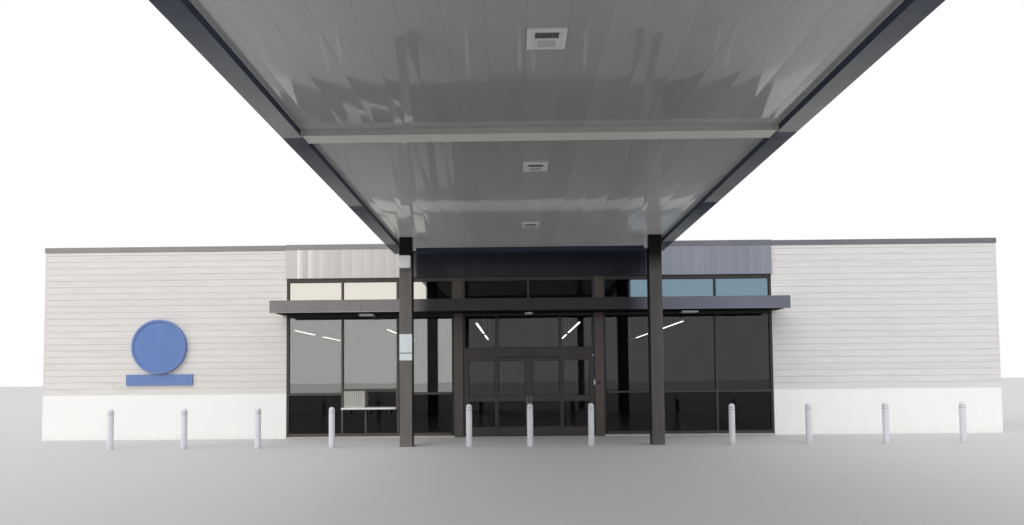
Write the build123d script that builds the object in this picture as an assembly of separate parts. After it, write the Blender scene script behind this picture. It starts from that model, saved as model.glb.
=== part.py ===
from build123d import *
from math import cos, radians, sin
import os

os.makedirs("parts", exist_ok=True)

# Millimetres. X runs along the shop front, Y from the forecourt into the shop, Z up from the pavement.
# Until a piece is saved, X = 0 is the middle of the entrance and Y = 0 is the face of the front wall.

# Store shell
left_wing_end = 13480
right_wing_end = 12910
store_depth = 13700
wall_thickness = 300
wall_top = 5345
base_course_height = 1242
base_course_proud = 8
floor_thickness = 30
roof_underside = 4700
roof_thickness = 250

# Coping cap on the parapets
coping_height = 140
coping_sheet = 17
coping_cover = 20

# Central bay
panel_width = 305
panel_count = 44
panel_seam_width = 8
panel_seam_depth = 6
bay_proud = 80
bay_wall_bottom = 4425
bay_frame_depth = 230
post_centre = 1945
post_width = 240

# Shopfront frames
curb_height = 45
curb_inset = 12
frame_set_back = 30
frame_depth = 115
bar = 60
sill_bar = 85
outer_mullion = 5172
inner_mullion = 3632
mid_rail_centre = 1210
glass_thickness = 24
bead_depth = 12
bead_width = 9
frame_top = 3410
head_bar = 70

# Walk-up service window in the outer left bay
service_transom_bottom = 1299
service_transom_height = 47
service_shelf_top = 842
service_shelf_thickness = 50
service_shelf_reach = 250
service_mullion = 4520
service_panel_border = 45
service_ribs = 8
service_rib_depth = 8

# Clerestory strip above the eyebrow
lintel_height = 320
clerestory_head = 100

# Eyebrow over the shopfront
eyebrow_overhang = 120
eyebrow_reach = 1000
eyebrow_height = 300
eyebrow_lip = 32
eyebrow_fall = 40
eyebrow_sheet = 30
eyebrow_light_places = [-4370, 0, 4310]
eyebrow_light_widths = [400, 210, 450]
eyebrow_light_depth = 300
eyebrow_light_drop = 90

# Entrance: two sliding leaves between two fixed sidelites, under an operator header
package_height = 2431
header_height = 228
header_sheet = 6
header_set_back = 20
header_depth = 195
jamb_width = 45
threshold_height = 12
door_frame_thickness = 45
sidelite_stile = 112
sidelite_lead_stile = 62
sidelite_lead_edge = 886
leaf_set_back = 92
leaf_meeting_gap = 6
leaf_outer_edge = 944
leaf_stile = 110
leaf_floor_clearance = 8
leaf_head_clearance = 10
leaf_end_clearance = 10
door_top_rail = 103
door_mid_rail_bottom = 969
door_mid_rail_height = 161
door_lower_glass = 276
transom_bar = 30
transom_mullion = 877
transom_mullion_width = 76
hanger_slot = 26
hanger_plate = 9
hanger_width = 90
hanger_inset = 170
wheel_radius = 24
wheel_width = 14
wheel_gap = 0.3
rail_height = 22
rail_width = 16
sensor_width = 300
sensor_height = 64
sensor_depth = 45
sensor_drop = 111

# Forecourt canopy
soffit_height = 5010
pan_width = 406.4
pan_depth = 75
pan_sheet = 3
pan_seam = 6
pan_clearance = 0.3
canopy_store_end = -980
trough_centre = -9475
trough_width = 295
trough_drop = 85
trough_sheet = 5
fascia_drop = 100
fascia_height = 910
fascia_sheet = 20
fascia_return = 277
fascia_half_width = 3531
fascia_cap = 90
column_size = 305
column_corner = 10
left_column_inset = 553
right_column_inset = 531
column_y = -2450
column_clearance = 4
purlin_pitch = 1400
purlin_height = 200
purlin_width = 75
purlin_sheet = 8
girder_height = 300
girder_width = 180
girder_web = 12
girder_flange = 16
lamp_size = 400
lamp_drop = 24
lamp_lens = 300
lamp_first = -3770
lamp_pitch = 4140
lamp_count = 4

# Fittings on the left forecourt column
speaker_width = 300
speaker_height = 298
speaker_depth = 120
speaker_drop = 457
speaker_shift = 22
plate_width = 300
plate_heights = [163, 440]
plate_bottoms = [2050, 2235]
plate_thickness = 4

# Bollards
bollard_radius = 70
bollard_middle_height = 1000
bollard_wing_height = 960
bollard_row = -2650
bollard_dome_facets = 3
bollard_middle_x = -35
bollard_middle_pitch = 1441
bollard_wing_count = 4
bollard_left_first = -4728
bollard_left_pitch = -1757
bollard_right_first = 4718
bollard_right_pitch = 1801

# Blank wall sign
sign_x = -10220
sign_z = 2567
sign_radius = 750
sign_depth = 130
sign_rim = 60
sign_recess = 20
sign_bar_z = 1652
sign_bar_width = 1840
sign_bar_height = 300
sign_bar_depth = 60

# Ceiling line lights in the shop
strip_fixture = 2125
strip_width = 100
strip_height = 70
strip_bottom = 3200
strip_rod = 16
strip_rod_inset = 300
strip_first_x = -7390
strip_pitch = 2955
strip_count = 5
strip_near_y = 690
strip_far_y = 5940
strip_short_lines = 2

# Worked out from the sizes above
bay_half = panel_width * panel_count / 2
post_inner = post_centre - post_width / 2
post_outer = post_centre + post_width / 2
coping_top = wall_top + coping_cover
glazing_top = frame_top - head_bar
clerestory_bottom = frame_top + lintel_height
header_bottom = package_height - header_height
door_glass_top = header_bottom - door_top_rail
door_mid_rail_top = door_mid_rail_bottom + door_mid_rail_height
canopy_street_end = 2 * trough_centre - canopy_store_end
pan_field_half = fascia_half_width - fascia_return
pan_top = soffit_height + pan_depth
purlin_top = pan_top + purlin_height
fascia_bottom = soffit_height - fascia_drop
column_lines = [left_column_inset - fascia_half_width, fascia_half_width - right_column_inset]
speaker_top = soffit_height - speaker_drop
shift_x = (left_wing_end - right_wing_end) / 2
shift_y = -(canopy_street_end + store_depth + coping_sheet) / 2
leaf_back = leaf_set_back + door_frame_thickness
leaf_bottom = threshold_height + leaf_floor_clearance
leaf_top = header_bottom - leaf_head_clearance
leaf_travel = post_inner - jamb_width - leaf_end_clearance - leaf_outer_edge


def block(x0, x1, y0, y1, z0, z1):
    """A box between two corners."""
    centre = Pos((x0 + x1) / 2, (y0 + y1) / 2, (z0 + z1) / 2)
    return centre * Box(x1 - x0, y1 - y0, z1 - z0)


def save(name, solids):
    """Write one node, moved from the entrance's frame to the middle of the whole footprint."""
    moved = [Pos(shift_x, shift_y, 0) * solid for solid in solids]
    export_step(Compound(children=moved) if len(moved) > 1 else moved[0], f"parts/{name}.step")


def extrude_x(points, x0, x1):
    """Extrude a closed outline of (y, z) points from x0 to x1."""
    outline = Polyline(*[(x0, y, z) for y, z in points], close=True)
    return extrude(make_face(outline), amount=x1 - x0, dir=(1, 0, 0))


def mitred_run(points, length, reach):
    """A straight run along X of a (y, z) profile, y = 0 its outer face, both ends mitred at 45 degrees."""
    run = extrude_x(points, -length / 2, length / 2)
    half = length / 2
    wedge_outline = Polyline((-half, 0), (half, 0), (half - reach, reach), (-half + reach, reach), close=True)
    lowest = min(z for _, z in points)
    highest = max(z for _, z in points)
    wedge = Pos(0, 0, lowest) * extrude(make_face(wedge_outline), amount=highest - lowest)
    return run & wedge


def panes_between(columns, rows):
    """Rectangles (x0, x1, z0, z1) left between columns and rows, each given as (low, high) bars."""
    return [
        (left[1], right[0], lower[1], upper[0])
        for left, right in zip(columns, columns[1:])
        for lower, upper in zip(rows, rows[1:])
    ]


def glazed_frame(outline, panes, y0, y1):
    """A frame around its panes, with a glazing bead stepped back on the outer face of every pane."""
    x0, x1, z0, z1 = outline
    frame = block(x0, x1, y0, y1, z0, z1)
    for left, right, low, high in panes:
        frame -= block(left, right, y0, y1, low, high)
        frame -= block(left - bead_width, right + bead_width, y0, y0 + bead_depth,
                       low - bead_width, high + bead_width)
    return frame


def glass_for(panes, y0, y1):
    """One sheet for each pane, in the middle of the frame's depth."""
    middle = (y0 + y1) / 2
    back = middle + glass_thickness / 2
    return [block(left, right, back - glass_thickness, back, low, high) for left, right, low, high in panes]


def bars_at(centres, width):
    """(low, high) pairs of bars about their centres."""
    return [(centre - width / 2, centre + width / 2) for centre in centres]


def front_walls():
    """The two wings, each with its base course standing slightly proud."""
    walls = []
    for x0, x1 in ((-left_wing_end, -bay_half), (bay_half, right_wing_end)):
        wall = block(x0, x1, 0, wall_thickness, 0, wall_top)
        walls.append(wall + block(x0, x1, -base_course_proud, 0, 0, base_course_height))
    return walls


def side_wall(side_x, outward):
    """A side wall between the front and rear walls, with its base course."""
    inner = side_x - outward * wall_thickness
    proud = side_x + outward * base_course_proud
    back = store_depth - wall_thickness
    wall = block(min(side_x, inner), max(side_x, inner), wall_thickness, back, 0, wall_top)
    course = block(min(side_x, proud), max(side_x, proud), wall_thickness, back, 0, base_course_height)
    return wall + course


def rear_wall():
    """The rear wall across the whole width, with its base course."""
    wall = block(-left_wing_end, right_wing_end, store_depth - wall_thickness, store_depth, 0, wall_top)
    course_back = store_depth + base_course_proud
    return wall + block(-left_wing_end, right_wing_end, store_depth, course_back, 0, base_course_height)


def bay_wall():
    """The wall over the clerestory, its face grooved at every metal panel's seam."""
    wall = block(-bay_half, bay_half, -bay_proud, wall_thickness, bay_wall_bottom, wall_top)
    for number in range(1, panel_count):
        seam = -bay_half + number * panel_width
        wall -= block(
            seam - panel_seam_width / 2, seam + panel_seam_width / 2,
            -bay_proud, -bay_proud + panel_seam_depth, bay_wall_bottom, wall_top,
        )
    return wall


def coping_profile(thickness):
    """Outline of a cap over a wall of this thickness, y = 0 its outer face."""
    outer = thickness + 2 * coping_sheet
    bottom = coping_top - coping_height
    return [
        (0, bottom), (coping_sheet, bottom), (coping_sheet, wall_top), (outer - coping_sheet, wall_top),
        (outer - coping_sheet, bottom), (outer, bottom), (outer, coping_top), (0, coping_top),
    ]


def coping_runs():
    """Mitred cap runs: front, sides and rear, and a straight one over the central bay."""
    reach = wall_thickness + 2 * coping_sheet
    width = left_wing_end + right_wing_end + 2 * coping_sheet
    depth = store_depth + 2 * coping_sheet
    middle_x = (right_wing_end - left_wing_end) / 2
    profile = coping_profile(wall_thickness)
    front = Pos(middle_x, -coping_sheet, 0) * mitred_run(profile, width, reach)
    bay_gap = block(-bay_half, bay_half, -reach, 2 * reach, 0, 2 * coping_top)
    rear = Pos(middle_x, store_depth + coping_sheet, 0) * Rot(0, 0, 180) * mitred_run(profile, width, reach)
    side = mitred_run(profile, depth, reach)
    left = Pos(-left_wing_end - coping_sheet, store_depth / 2, 0) * Rot(0, 0, -90) * side
    right = Pos(right_wing_end + coping_sheet, store_depth / 2, 0) * Rot(0, 0, 90) * side
    bay_profile = coping_profile(wall_thickness + bay_proud)
    bay = Pos(0, -bay_proud - coping_sheet, 0) * extrude_x(bay_profile, -bay_half, bay_half)
    return (front - bay_gap).solids(), [left, right], rear, bay


def roof_deck():
    """The flat roof between the parapets."""
    front = block(
        -left_wing_end + wall_thickness, right_wing_end - wall_thickness,
        wall_thickness, store_depth - wall_thickness, roof_underside, roof_underside + roof_thickness,
    )
    return front


def floor_slab():
    """The shop floor, with a tongue that reaches the curbs and the threshold of the central bay."""
    room = block(
        -left_wing_end + wall_thickness, right_wing_end - wall_thickness,
        wall_thickness, store_depth - wall_thickness, 0, floor_thickness,
    )
    return room + block(-bay_half, bay_half, bay_frame_depth, wall_thickness, 0, floor_thickness)


def entrance_posts():
    """The two wide posts beside the entrance, from the ground to the bay wall."""
    return [
        block(side * post_centre - post_width / 2, side * post_centre + post_width / 2, 0, bay_frame_depth,
              0, bay_wall_bottom)
        for side in (-1, 1)
    ]


def bay_spans():
    """The three stretches of the bay between its walls and posts."""
    return [(-bay_half, -post_outer), (-post_inner, post_inner), (post_outer, bay_half)]


def lintel_beams():
    """Beams behind the eyebrow, between the shopfront frames and the clerestory."""
    return [block(x0, x1, 0, bay_frame_depth, frame_top, clerestory_bottom) for x0, x1 in bay_spans()]


def shopfront_curbs():
    """Low concrete curbs under the two shopfronts."""
    left, _, right = bay_spans()
    return [block(x0, x1, curb_inset, bay_frame_depth, 0, curb_height) for x0, x1 in (left, right)]


def span_columns(x0, x1, mullions, jamb=bar):
    """The jambs and mullions of one stretch, as (low, high) pairs."""
    return [(x0, x0 + jamb)] + bars_at(mullions, bar) + [(x1 - jamb, x1)]


def right_shopfront():
    """Outline and panes of the shopfront right of the entrance."""
    x0, x1 = bay_spans()[2]
    columns = span_columns(x0, x1, [inner_mullion, outer_mullion])
    sill = (curb_height, curb_height + sill_bar)
    rows = [sill] + bars_at([mid_rail_centre], bar) + [(glazing_top, frame_top)]
    return (x0, x1, curb_height, frame_top), panes_between(columns, rows)


def left_shopfront():
    """Outline and panes of the left shopfront, with the service window in its outer bay but one."""
    x0, x1 = bay_spans()[0]
    columns = span_columns(x0, x1, [-outer_mullion, -inner_mullion])
    sill = (curb_height, curb_height + sill_bar)
    head = (glazing_top, frame_top)
    plain_rows = [sill] + bars_at([mid_rail_centre], bar) + [head]
    plain = panes_between(columns[:2], plain_rows) + panes_between(columns[2:], plain_rows)
    transom = (service_transom_bottom, service_transom_bottom + service_transom_height)
    counter = (service_shelf_top - service_shelf_thickness, service_shelf_top)
    middle = bars_at([-service_mullion], bar)
    upper = panes_between(columns[1:3], [transom, head])
    window = panes_between([columns[1]] + middle, [counter, transom])
    slider = panes_between(middle + [columns[2]], [counter, transom])
    lower = panes_between([columns[1]] + middle + [columns[2]], [sill, counter])
    return (x0, x1, curb_height, frame_top), plain + upper + slider + lower, window


def service_panel(window):
    """The light metal panel beside the service window's glass: upright ribs inside a flat border."""
    left, right, low, high = window[0]
    y0 = frame_set_back + frame_depth / 2 - glass_thickness / 2
    y1 = y0 + service_rib_depth
    panel = block(left, right, y0, y0 + glass_thickness, low, high)
    left += service_panel_border
    right -= service_panel_border
    low += service_panel_border
    high -= service_panel_border
    panel -= block(left, right, y0, y1, low, high)
    pitch = (right - left) / service_ribs
    for number in range(service_ribs):
        centre = left + (number + 0.5) * pitch
        panel += block(centre - pitch / 4, centre + pitch / 4, y0, y1, low, high)
    return panel


def service_shelf():
    """The white counter shelf outside the service window, with an eased front edge."""
    x0 = -outer_mullion + bar / 2
    x1 = -inner_mullion - bar / 2
    shelf = block(
        x0, x1, frame_set_back - service_shelf_reach, frame_set_back,
        service_shelf_top - service_shelf_thickness, service_shelf_top,
    )
    front = shelf.edges().filter_by(Axis.X).group_by(Axis.Y)[0]
    return chamfer(front, service_shelf_thickness / 5)


def clerestory():
    """Outlines and panes of the strip windows above the eyebrow."""
    left, middle, right = bay_spans()
    sill = (clerestory_bottom, clerestory_bottom + bar)
    head = (bay_wall_bottom - clerestory_head, bay_wall_bottom)
    frames = []
    for (x0, x1), mullions in (
        (left, [-outer_mullion, -inner_mullion]), (middle, [0]), (right, [inner_mullion, outer_mullion])
    ):
        panes = panes_between(span_columns(x0, x1, mullions), [sill, head])
        frames.append(((x0, x1, clerestory_bottom, bay_wall_bottom), panes))
    return frames


def eyebrow():
    """The flat canopy over the shopfront: a metal-clad box with a falling top and a drip lip in front."""
    half = bay_half + eyebrow_overhang
    bottom = frame_top
    top = bottom + eyebrow_height
    return extrude_x(
        [
            (0, bottom), (0, top + eyebrow_fall),
            (-eyebrow_reach, top), (-eyebrow_reach, bottom - eyebrow_lip),
            (-eyebrow_reach + eyebrow_sheet, bottom - eyebrow_lip), (-eyebrow_reach + eyebrow_sheet, bottom),
        ],
        -half, half,
    )


def eyebrow_lights():
    """Box lights hung under the eyebrow."""
    middle = -eyebrow_reach / 2
    return [
        block(place - width / 2, place + width / 2, middle - eyebrow_light_depth / 2,
              middle + eyebrow_light_depth / 2, frame_top - eyebrow_light_drop, frame_top)
        for place, width in zip(eyebrow_light_places, eyebrow_light_widths)
    ]


def door_header():
    """The operator header: a folded section open below for the hangers, with the rail the wheels run on."""
    front = header_set_back
    back = header_set_back + header_depth
    slot_front = leaf_set_back + door_frame_thickness / 2 - hanger_slot / 2
    slot_back = slot_front + hanger_slot
    floor = header_bottom + header_sheet
    rail_top = floor + rail_height
    ceiling = package_height - header_sheet
    return extrude_x(
        [
            (front, header_bottom), (slot_front, header_bottom), (slot_front, floor),
            (front + header_sheet, floor), (front + header_sheet, ceiling),
            (back - header_sheet, ceiling), (back - header_sheet, floor),
            (slot_back + rail_width, floor), (slot_back + rail_width, rail_top), (slot_back, rail_top),
            (slot_back, header_bottom), (back, header_bottom),
            (back, package_height), (front, package_height),
        ],
        -post_inner, post_inner,
    )


def door_sensor():
    """The motion sensor on the header's face, over the middle of the entrance."""
    top = package_height - sensor_drop
    sensor = block(-sensor_width / 2, sensor_width / 2, header_set_back - sensor_depth, header_set_back,
                   top - sensor_height, top)
    return chamfer(sensor.faces().sort_by(Axis.Y)[0].edges().filter_by(Axis.X), sensor_depth / 4)


def door_jambs():
    """Upright jambs from the threshold to the header."""
    back = header_set_back + header_depth
    return [
        block(min(side * post_inner, side * (post_inner - jamb_width)),
              max(side * post_inner, side * (post_inner - jamb_width)),
              header_set_back, back, threshold_height, header_bottom)
        for side in (-1, 1)
    ]


def door_rows(bottom, top):
    """Rails shared by leaves and sidelites: bottom, middle and top."""
    return [(bottom, door_lower_glass), (door_mid_rail_bottom, door_mid_rail_top), (door_glass_top, top)]


def sidelite(side):
    """Frame and panes of one fixed sidelite."""
    outer = post_inner - jamb_width
    lead = (sidelite_lead_edge, sidelite_lead_edge + sidelite_lead_stile)
    columns = [lead, (outer - sidelite_stile, outer)]
    panes = panes_between(columns, door_rows(threshold_height, header_bottom))
    panes = mirrored(panes, side)
    outline = mirrored([(sidelite_lead_edge, outer, threshold_height, header_bottom)], side)[0]
    y0 = frame_set_back
    y1 = frame_set_back + door_frame_thickness
    return glazed_frame(outline, panes, y0, y1), glass_for(panes, y0, y1)


def mirrored(rectangles, side):
    """Rectangles given for the right side, mirrored in X when side is -1."""
    if side > 0:
        return rectangles
    return [(-x1, -x0, z0, z1) for x0, x1, z0, z1 in rectangles]


def leaf(side):
    """One sliding leaf with its two hangers and wheels, and its panes of glass."""
    inner = leaf_meeting_gap / 2
    columns = [(inner, inner + leaf_stile), (leaf_outer_edge - leaf_stile, leaf_outer_edge)]
    panes = mirrored(panes_between(columns, door_rows(leaf_bottom, leaf_top)), side)
    outline = mirrored([(inner, leaf_outer_edge, leaf_bottom, leaf_top)], side)[0]
    frame = glazed_frame(outline, panes, leaf_set_back, leaf_back)
    for place in (inner + hanger_inset, leaf_outer_edge - hanger_inset):
        frame += hanger(side * place)
    return frame, glass_for(panes, leaf_set_back, leaf_back)


def hanger(x):
    """A plate that rises through the header's slot and carries a wheel above the rail."""
    plate_back = leaf_set_back + door_frame_thickness / 2 + hanger_plate / 2
    wheel_centre = header_bottom + header_sheet + rail_height + wheel_gap + wheel_radius
    plate = block(
        x - hanger_width / 2, x + hanger_width / 2, plate_back - hanger_plate, plate_back,
        leaf_top, wheel_centre + wheel_radius / 2,
    )
    slot_back = leaf_set_back + door_frame_thickness / 2 + hanger_slot / 2
    wheel_reach = slot_back + wheel_width - plate_back
    axle = Pos(x, plate_back + wheel_reach / 2, wheel_centre) * Rot(90, 0, 0)
    wheel = axle * Cylinder(wheel_radius, wheel_reach)
    return plate + wheel


def transom():
    """Frame and panes above the operator header."""
    columns = [(-post_inner, -post_inner + bar)] + bars_at(
        [-transom_mullion, transom_mullion], transom_mullion_width
    ) + [(post_inner - bar, post_inner)]
    rows = [(package_height, package_height + transom_bar), (glazing_top, frame_top)]
    return (-post_inner, post_inner, package_height, frame_top), panes_between(columns, rows)


def soffit_pans(y0, y1):
    """One field of interlocking pans, upturned at both edges, cut where a column passes."""
    pans = []
    number = int(pan_field_half / pan_width + 0.5)
    for index in range(-number, number + 1):
        left = max(index * pan_width - pan_width / 2, -pan_field_half)
        right = min(index * pan_width + pan_width / 2, pan_field_half)
        left_gap = pan_seam / 2 if left > -pan_field_half else 0
        right_gap = pan_seam / 2 if right < pan_field_half else 0
        pan = block(left, right, y0, y1, soffit_height, pan_top)
        pan -= block(left + left_gap + pan_sheet, right - right_gap - pan_sheet, y0, y1,
                     soffit_height + pan_sheet, pan_top)
        if left_gap:
            pan -= block(left, left + left_gap, y0, y1, soffit_height, pan_top - pan_sheet)
            pan -= block(left, left + pan_clearance / 2, y0, y1, soffit_height, pan_top)
        if right_gap:
            pan -= block(right - right_gap, right, y0, y1, soffit_height, pan_top - pan_sheet)
            pan -= block(right - pan_clearance / 2, right, y0, y1, soffit_height, pan_top)
        for hole in column_holes():
            pan -= hole
        pans.extend(pan.solids())
    return pans


def column_places():
    """Centres (x, y) of the four forecourt columns."""
    far = 2 * trough_centre - column_y
    return [(x, y) for y in (column_y, far) for x in column_lines]


def column_holes():
    """Clearance cuts round the columns."""
    half = column_size / 2 + column_clearance
    return [block(x - half, x + half, y - half, y + half, 0, 2 * soffit_height) for x, y in column_places()]


def forecourt_column(x, y):
    """A square column with eased corners, from its base plate to the girder."""
    half = column_size / 2
    shaft = block(x - half, x + half, y - half, y + half, 0, purlin_top)
    return chamfer(shaft.edges().filter_by(Axis.Z), column_corner)


def purlin_places():
    """Y of every purlin: even steps each side of the column line, up to the gutter trough."""
    room = abs(trough_centre - column_y) - trough_width / 2 - purlin_width / 2
    count = int(room / purlin_pitch + 0.5) + 1
    near = [column_y + purlin_pitch * (0.5 - index) for index in range(count)]
    return near + [2 * trough_centre - y for y in near]


def purlins():
    """Channel purlins across the canopy, lying on the pans' upturned edges."""
    half = fascia_half_width - fascia_sheet
    runs = []
    for y in purlin_places():
        run = block(-half, half, y - purlin_width / 2, y + purlin_width / 2, pan_top, purlin_top)
        runs.append(run - block(-half, half, y - purlin_width / 2 + purlin_sheet, y + purlin_width / 2,
                                pan_top + purlin_sheet, purlin_top - purlin_sheet))
    return runs


def girders():
    """Two rolled girders along the canopy, over the columns and the purlins."""
    y0 = canopy_street_end + fascia_sheet
    y1 = canopy_store_end - fascia_sheet
    top = purlin_top + girder_height
    beams = []
    for x in column_lines:
        flange = girder_width / 2
        beam = block(x - flange, x + flange, y0, y1, purlin_top, purlin_top + girder_flange)
        beam += block(x - girder_web / 2, x + girder_web / 2, y0, y1, purlin_top, top)
        beam += block(x - flange, x + flange, y0, y1, top - girder_flange, top)
        beams.append(beam)
    return beams


def gutter_trough():
    """The open gutter between the two fields of pans, hanging below the soffit."""
    y0 = trough_centre - trough_width / 2
    y1 = trough_centre + trough_width / 2
    bottom = soffit_height - trough_drop
    trough = block(-pan_field_half, pan_field_half, y0, y1, bottom, pan_top)
    return trough - block(-pan_field_half, pan_field_half, y0 + trough_sheet, y1 - trough_sheet,
                          bottom + trough_sheet, pan_top)


def fascia_profile():
    """Section of the fascia: face, bottom return, inner lip up to the pans, and cap at the top."""
    top = fascia_bottom + fascia_height
    return [
        (0, fascia_bottom), (fascia_return, fascia_bottom), (fascia_return, pan_top),
        (fascia_return - fascia_sheet, pan_top),
        (fascia_return - fascia_sheet, fascia_bottom + fascia_sheet),
        (fascia_sheet, fascia_bottom + fascia_sheet), (fascia_sheet, top - fascia_sheet),
        (fascia_cap, top - fascia_sheet), (fascia_cap, top), (0, top),
    ]


def fascias():
    """Four mitred fascia runs round the canopy: two along it and two across its ends."""
    length = canopy_store_end - canopy_street_end
    profile = fascia_profile()
    across = mitred_run(profile, 2 * fascia_half_width, fascia_return)
    along = mitred_run(profile, length, fascia_return)
    ends = [
        Pos(0, canopy_street_end, 0) * across,
        Pos(0, canopy_store_end, 0) * Rot(0, 0, 180) * across,
    ]
    sides = [
        Pos(-fascia_half_width, trough_centre, 0) * Rot(0, 0, -90) * along,
        Pos(fascia_half_width, trough_centre, 0) * Rot(0, 0, 90) * along,
    ]
    return sides, ends


def canopy_lamps():
    """Square lamps under the middle pan, each a shallow tray with a raised lens."""
    lamps = []
    for number in range(lamp_count):
        y = lamp_first - number * lamp_pitch
        half = lamp_size / 2
        tray = block(-half, half, y - half, y + half, soffit_height - lamp_drop, soffit_height)
        tray = chamfer(tray.faces().sort_by(Axis.Z)[0].edges(), lamp_drop / 3)
        inner = lamp_lens / 2
        tray -= block(-inner, inner, y - inner, y + inner, soffit_height - lamp_drop,
                      soffit_height - lamp_drop * 3 / 4)
        lamps.append(tray)
    return lamps


def speaker_box():
    """The white box high on the left column's street face, a little off its middle."""
    face = column_y - column_size / 2
    centre = column_lines[0] - speaker_shift
    box = block(
        centre - speaker_width / 2, centre + speaker_width / 2, face - speaker_depth, face,
        speaker_top - speaker_height, speaker_top,
    )
    return fillet(box.faces().sort_by(Axis.Y)[0].edges(), speaker_depth / 6)


def column_plates():
    """Two bare sign plates on the left column's street face."""
    face = column_y - column_size / 2
    left = column_lines[0] - plate_width / 2
    return [
        block(left, left + plate_width, face - plate_thickness, face, bottom, bottom + height)
        for bottom, height in zip(plate_bottoms, plate_heights)
    ]


def bollard(x, height):
    """A pipe sleeve with a domed top."""
    shoulder = height - bollard_radius
    outline = [(0, 0), (bollard_radius, 0)]
    for facet in range(bollard_dome_facets + 1):
        angle = radians(90 * facet / bollard_dome_facets)
        outline.append((bollard_radius * cos(angle), shoulder + bollard_radius * sin(angle)))
    profile = make_face(Plane.XZ * Polyline(*outline, close=True))
    return Pos(x, bollard_row, 0) * revolve(profile, Axis.Z)


def bollard_row_pieces():
    """Three bollards at the entrance and a slightly lower row before each wing."""
    pieces = [
        bollard(bollard_middle_x + number * bollard_middle_pitch, bollard_middle_height)
        for number in (-1, 0, 1)
    ]
    wings = ((bollard_left_first, bollard_left_pitch), (bollard_right_first, bollard_right_pitch))
    for first, pitch in wings:
        pieces += [
            bollard(first + number * pitch, bollard_wing_height)
            for number in range(bollard_wing_count)
        ]
    return pieces


def wall_sign():
    """A blank round sign with a raised rim, and a blank bar below it."""
    disc = Pos(sign_x, -sign_depth / 2, sign_z) * Rot(90, 0, 0) * Cylinder(sign_radius, sign_depth)
    recess = Pos(sign_x, -sign_depth + sign_recess / 2, sign_z) * Rot(90, 0, 0) * Cylinder(
        sign_radius - sign_rim, sign_recess
    )
    sign_bar = block(sign_x - sign_bar_width / 2, sign_x + sign_bar_width / 2, -sign_bar_depth, 0,
                     sign_bar_z - sign_bar_height / 2, sign_bar_z + sign_bar_height / 2)
    return [disc - recess, sign_bar]


def line_light(x, y0, y1):
    """One straight run of line light, hung from the roof on two rods."""
    half = strip_width / 2
    rod = strip_rod / 2
    top = strip_bottom + strip_height
    light = block(x - half, x + half, y0, y1, strip_bottom, top)
    for rod_y in (y0 + strip_rod_inset, y1 - strip_rod_inset):
        light += block(x - rod, x + rod, rod_y - rod, rod_y + rod, top, roof_underside)
    return light


def ceiling_lights():
    """A near and a far run in each line; the near runs on the left start one fixture later."""
    lights = []
    for number in range(strip_count):
        x = strip_first_x + number * strip_pitch
        near = strip_near_y + (strip_fixture if number < strip_short_lines else 0)
        lights.append(line_light(x, near, strip_near_y + 2 * strip_fixture))
        lights.append(line_light(x, strip_far_y, strip_far_y + 2 * strip_fixture))
    return lights


def build_shell():
    """Walls, copings, roof and floor of the store."""
    save("front_walls", front_walls())
    save("side_walls", [side_wall(-left_wing_end, -1), side_wall(right_wing_end, 1)])
    save("rear_wall", [rear_wall()])
    save("bay_wall", [bay_wall()])
    front, sides, rear, bay = coping_runs()
    save("coping_front", front)
    save("coping_sides", sides)
    save("coping_rear", [rear])
    save("coping_bay", [bay])
    save("roof_deck", [roof_deck()])
    save("floor_slab", [floor_slab()])
    save("wall_sign", wall_sign())
    save("ceiling_lights", ceiling_lights())


def build_shopfront():
    """Posts, frames, glass, service window, clerestory and eyebrow of the central bay."""
    y0 = frame_set_back
    y1 = frame_set_back + frame_depth
    save("entrance_posts", entrance_posts())
    save("lintel_beams", lintel_beams())
    save("shopfront_curbs", shopfront_curbs())
    left_outline, left_panes, window = left_shopfront()
    right_outline, right_panes = right_shopfront()
    save("shopfront_frames", [
        glazed_frame(left_outline, left_panes + window, y0, y1),
        glazed_frame(right_outline, right_panes, y0, y1),
    ])
    save("shopfront_glass", glass_for(left_panes + right_panes, y0, y1))
    save("service_panel", [service_panel(window)])
    save("service_shelf", [service_shelf()])
    strips = clerestory()
    save("clerestory_frames", [glazed_frame(outline, panes, y0, y1) for outline, panes in strips])
    save("clerestory_glass", [sheet for _, panes in strips for sheet in glass_for(panes, y0, y1)])
    save("eyebrow", [eyebrow()])
    save("eyebrow_lights", eyebrow_lights())


def build_entrance():
    """Header, jambs, threshold, transom, sidelites and the two sliding leaves."""
    save("door_header", [door_header()])
    save("door_sensor", [door_sensor()])
    save("door_jambs", door_jambs())
    save("door_threshold", [block(-post_inner, post_inner, 0, bay_frame_depth, 0, threshold_height)])
    y0 = frame_set_back
    y1 = frame_set_back + frame_depth
    outline, panes = transom()
    save("transom_frame", [glazed_frame(outline, panes, y0, y1)])
    save("transom_glass", glass_for(panes, y0, y1))
    frames, sheets = zip(sidelite(-1), sidelite(1))
    save("sidelite_frames", list(frames))
    save("sidelite_glass", [sheet for pair in sheets for sheet in pair])
    for name, side in (("left", -1), ("right", 1)):
        frame, glass = leaf(side)
        save(f"door_leaf_{name}", [frame])
        save(f"door_glass_{name}", glass)


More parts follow.
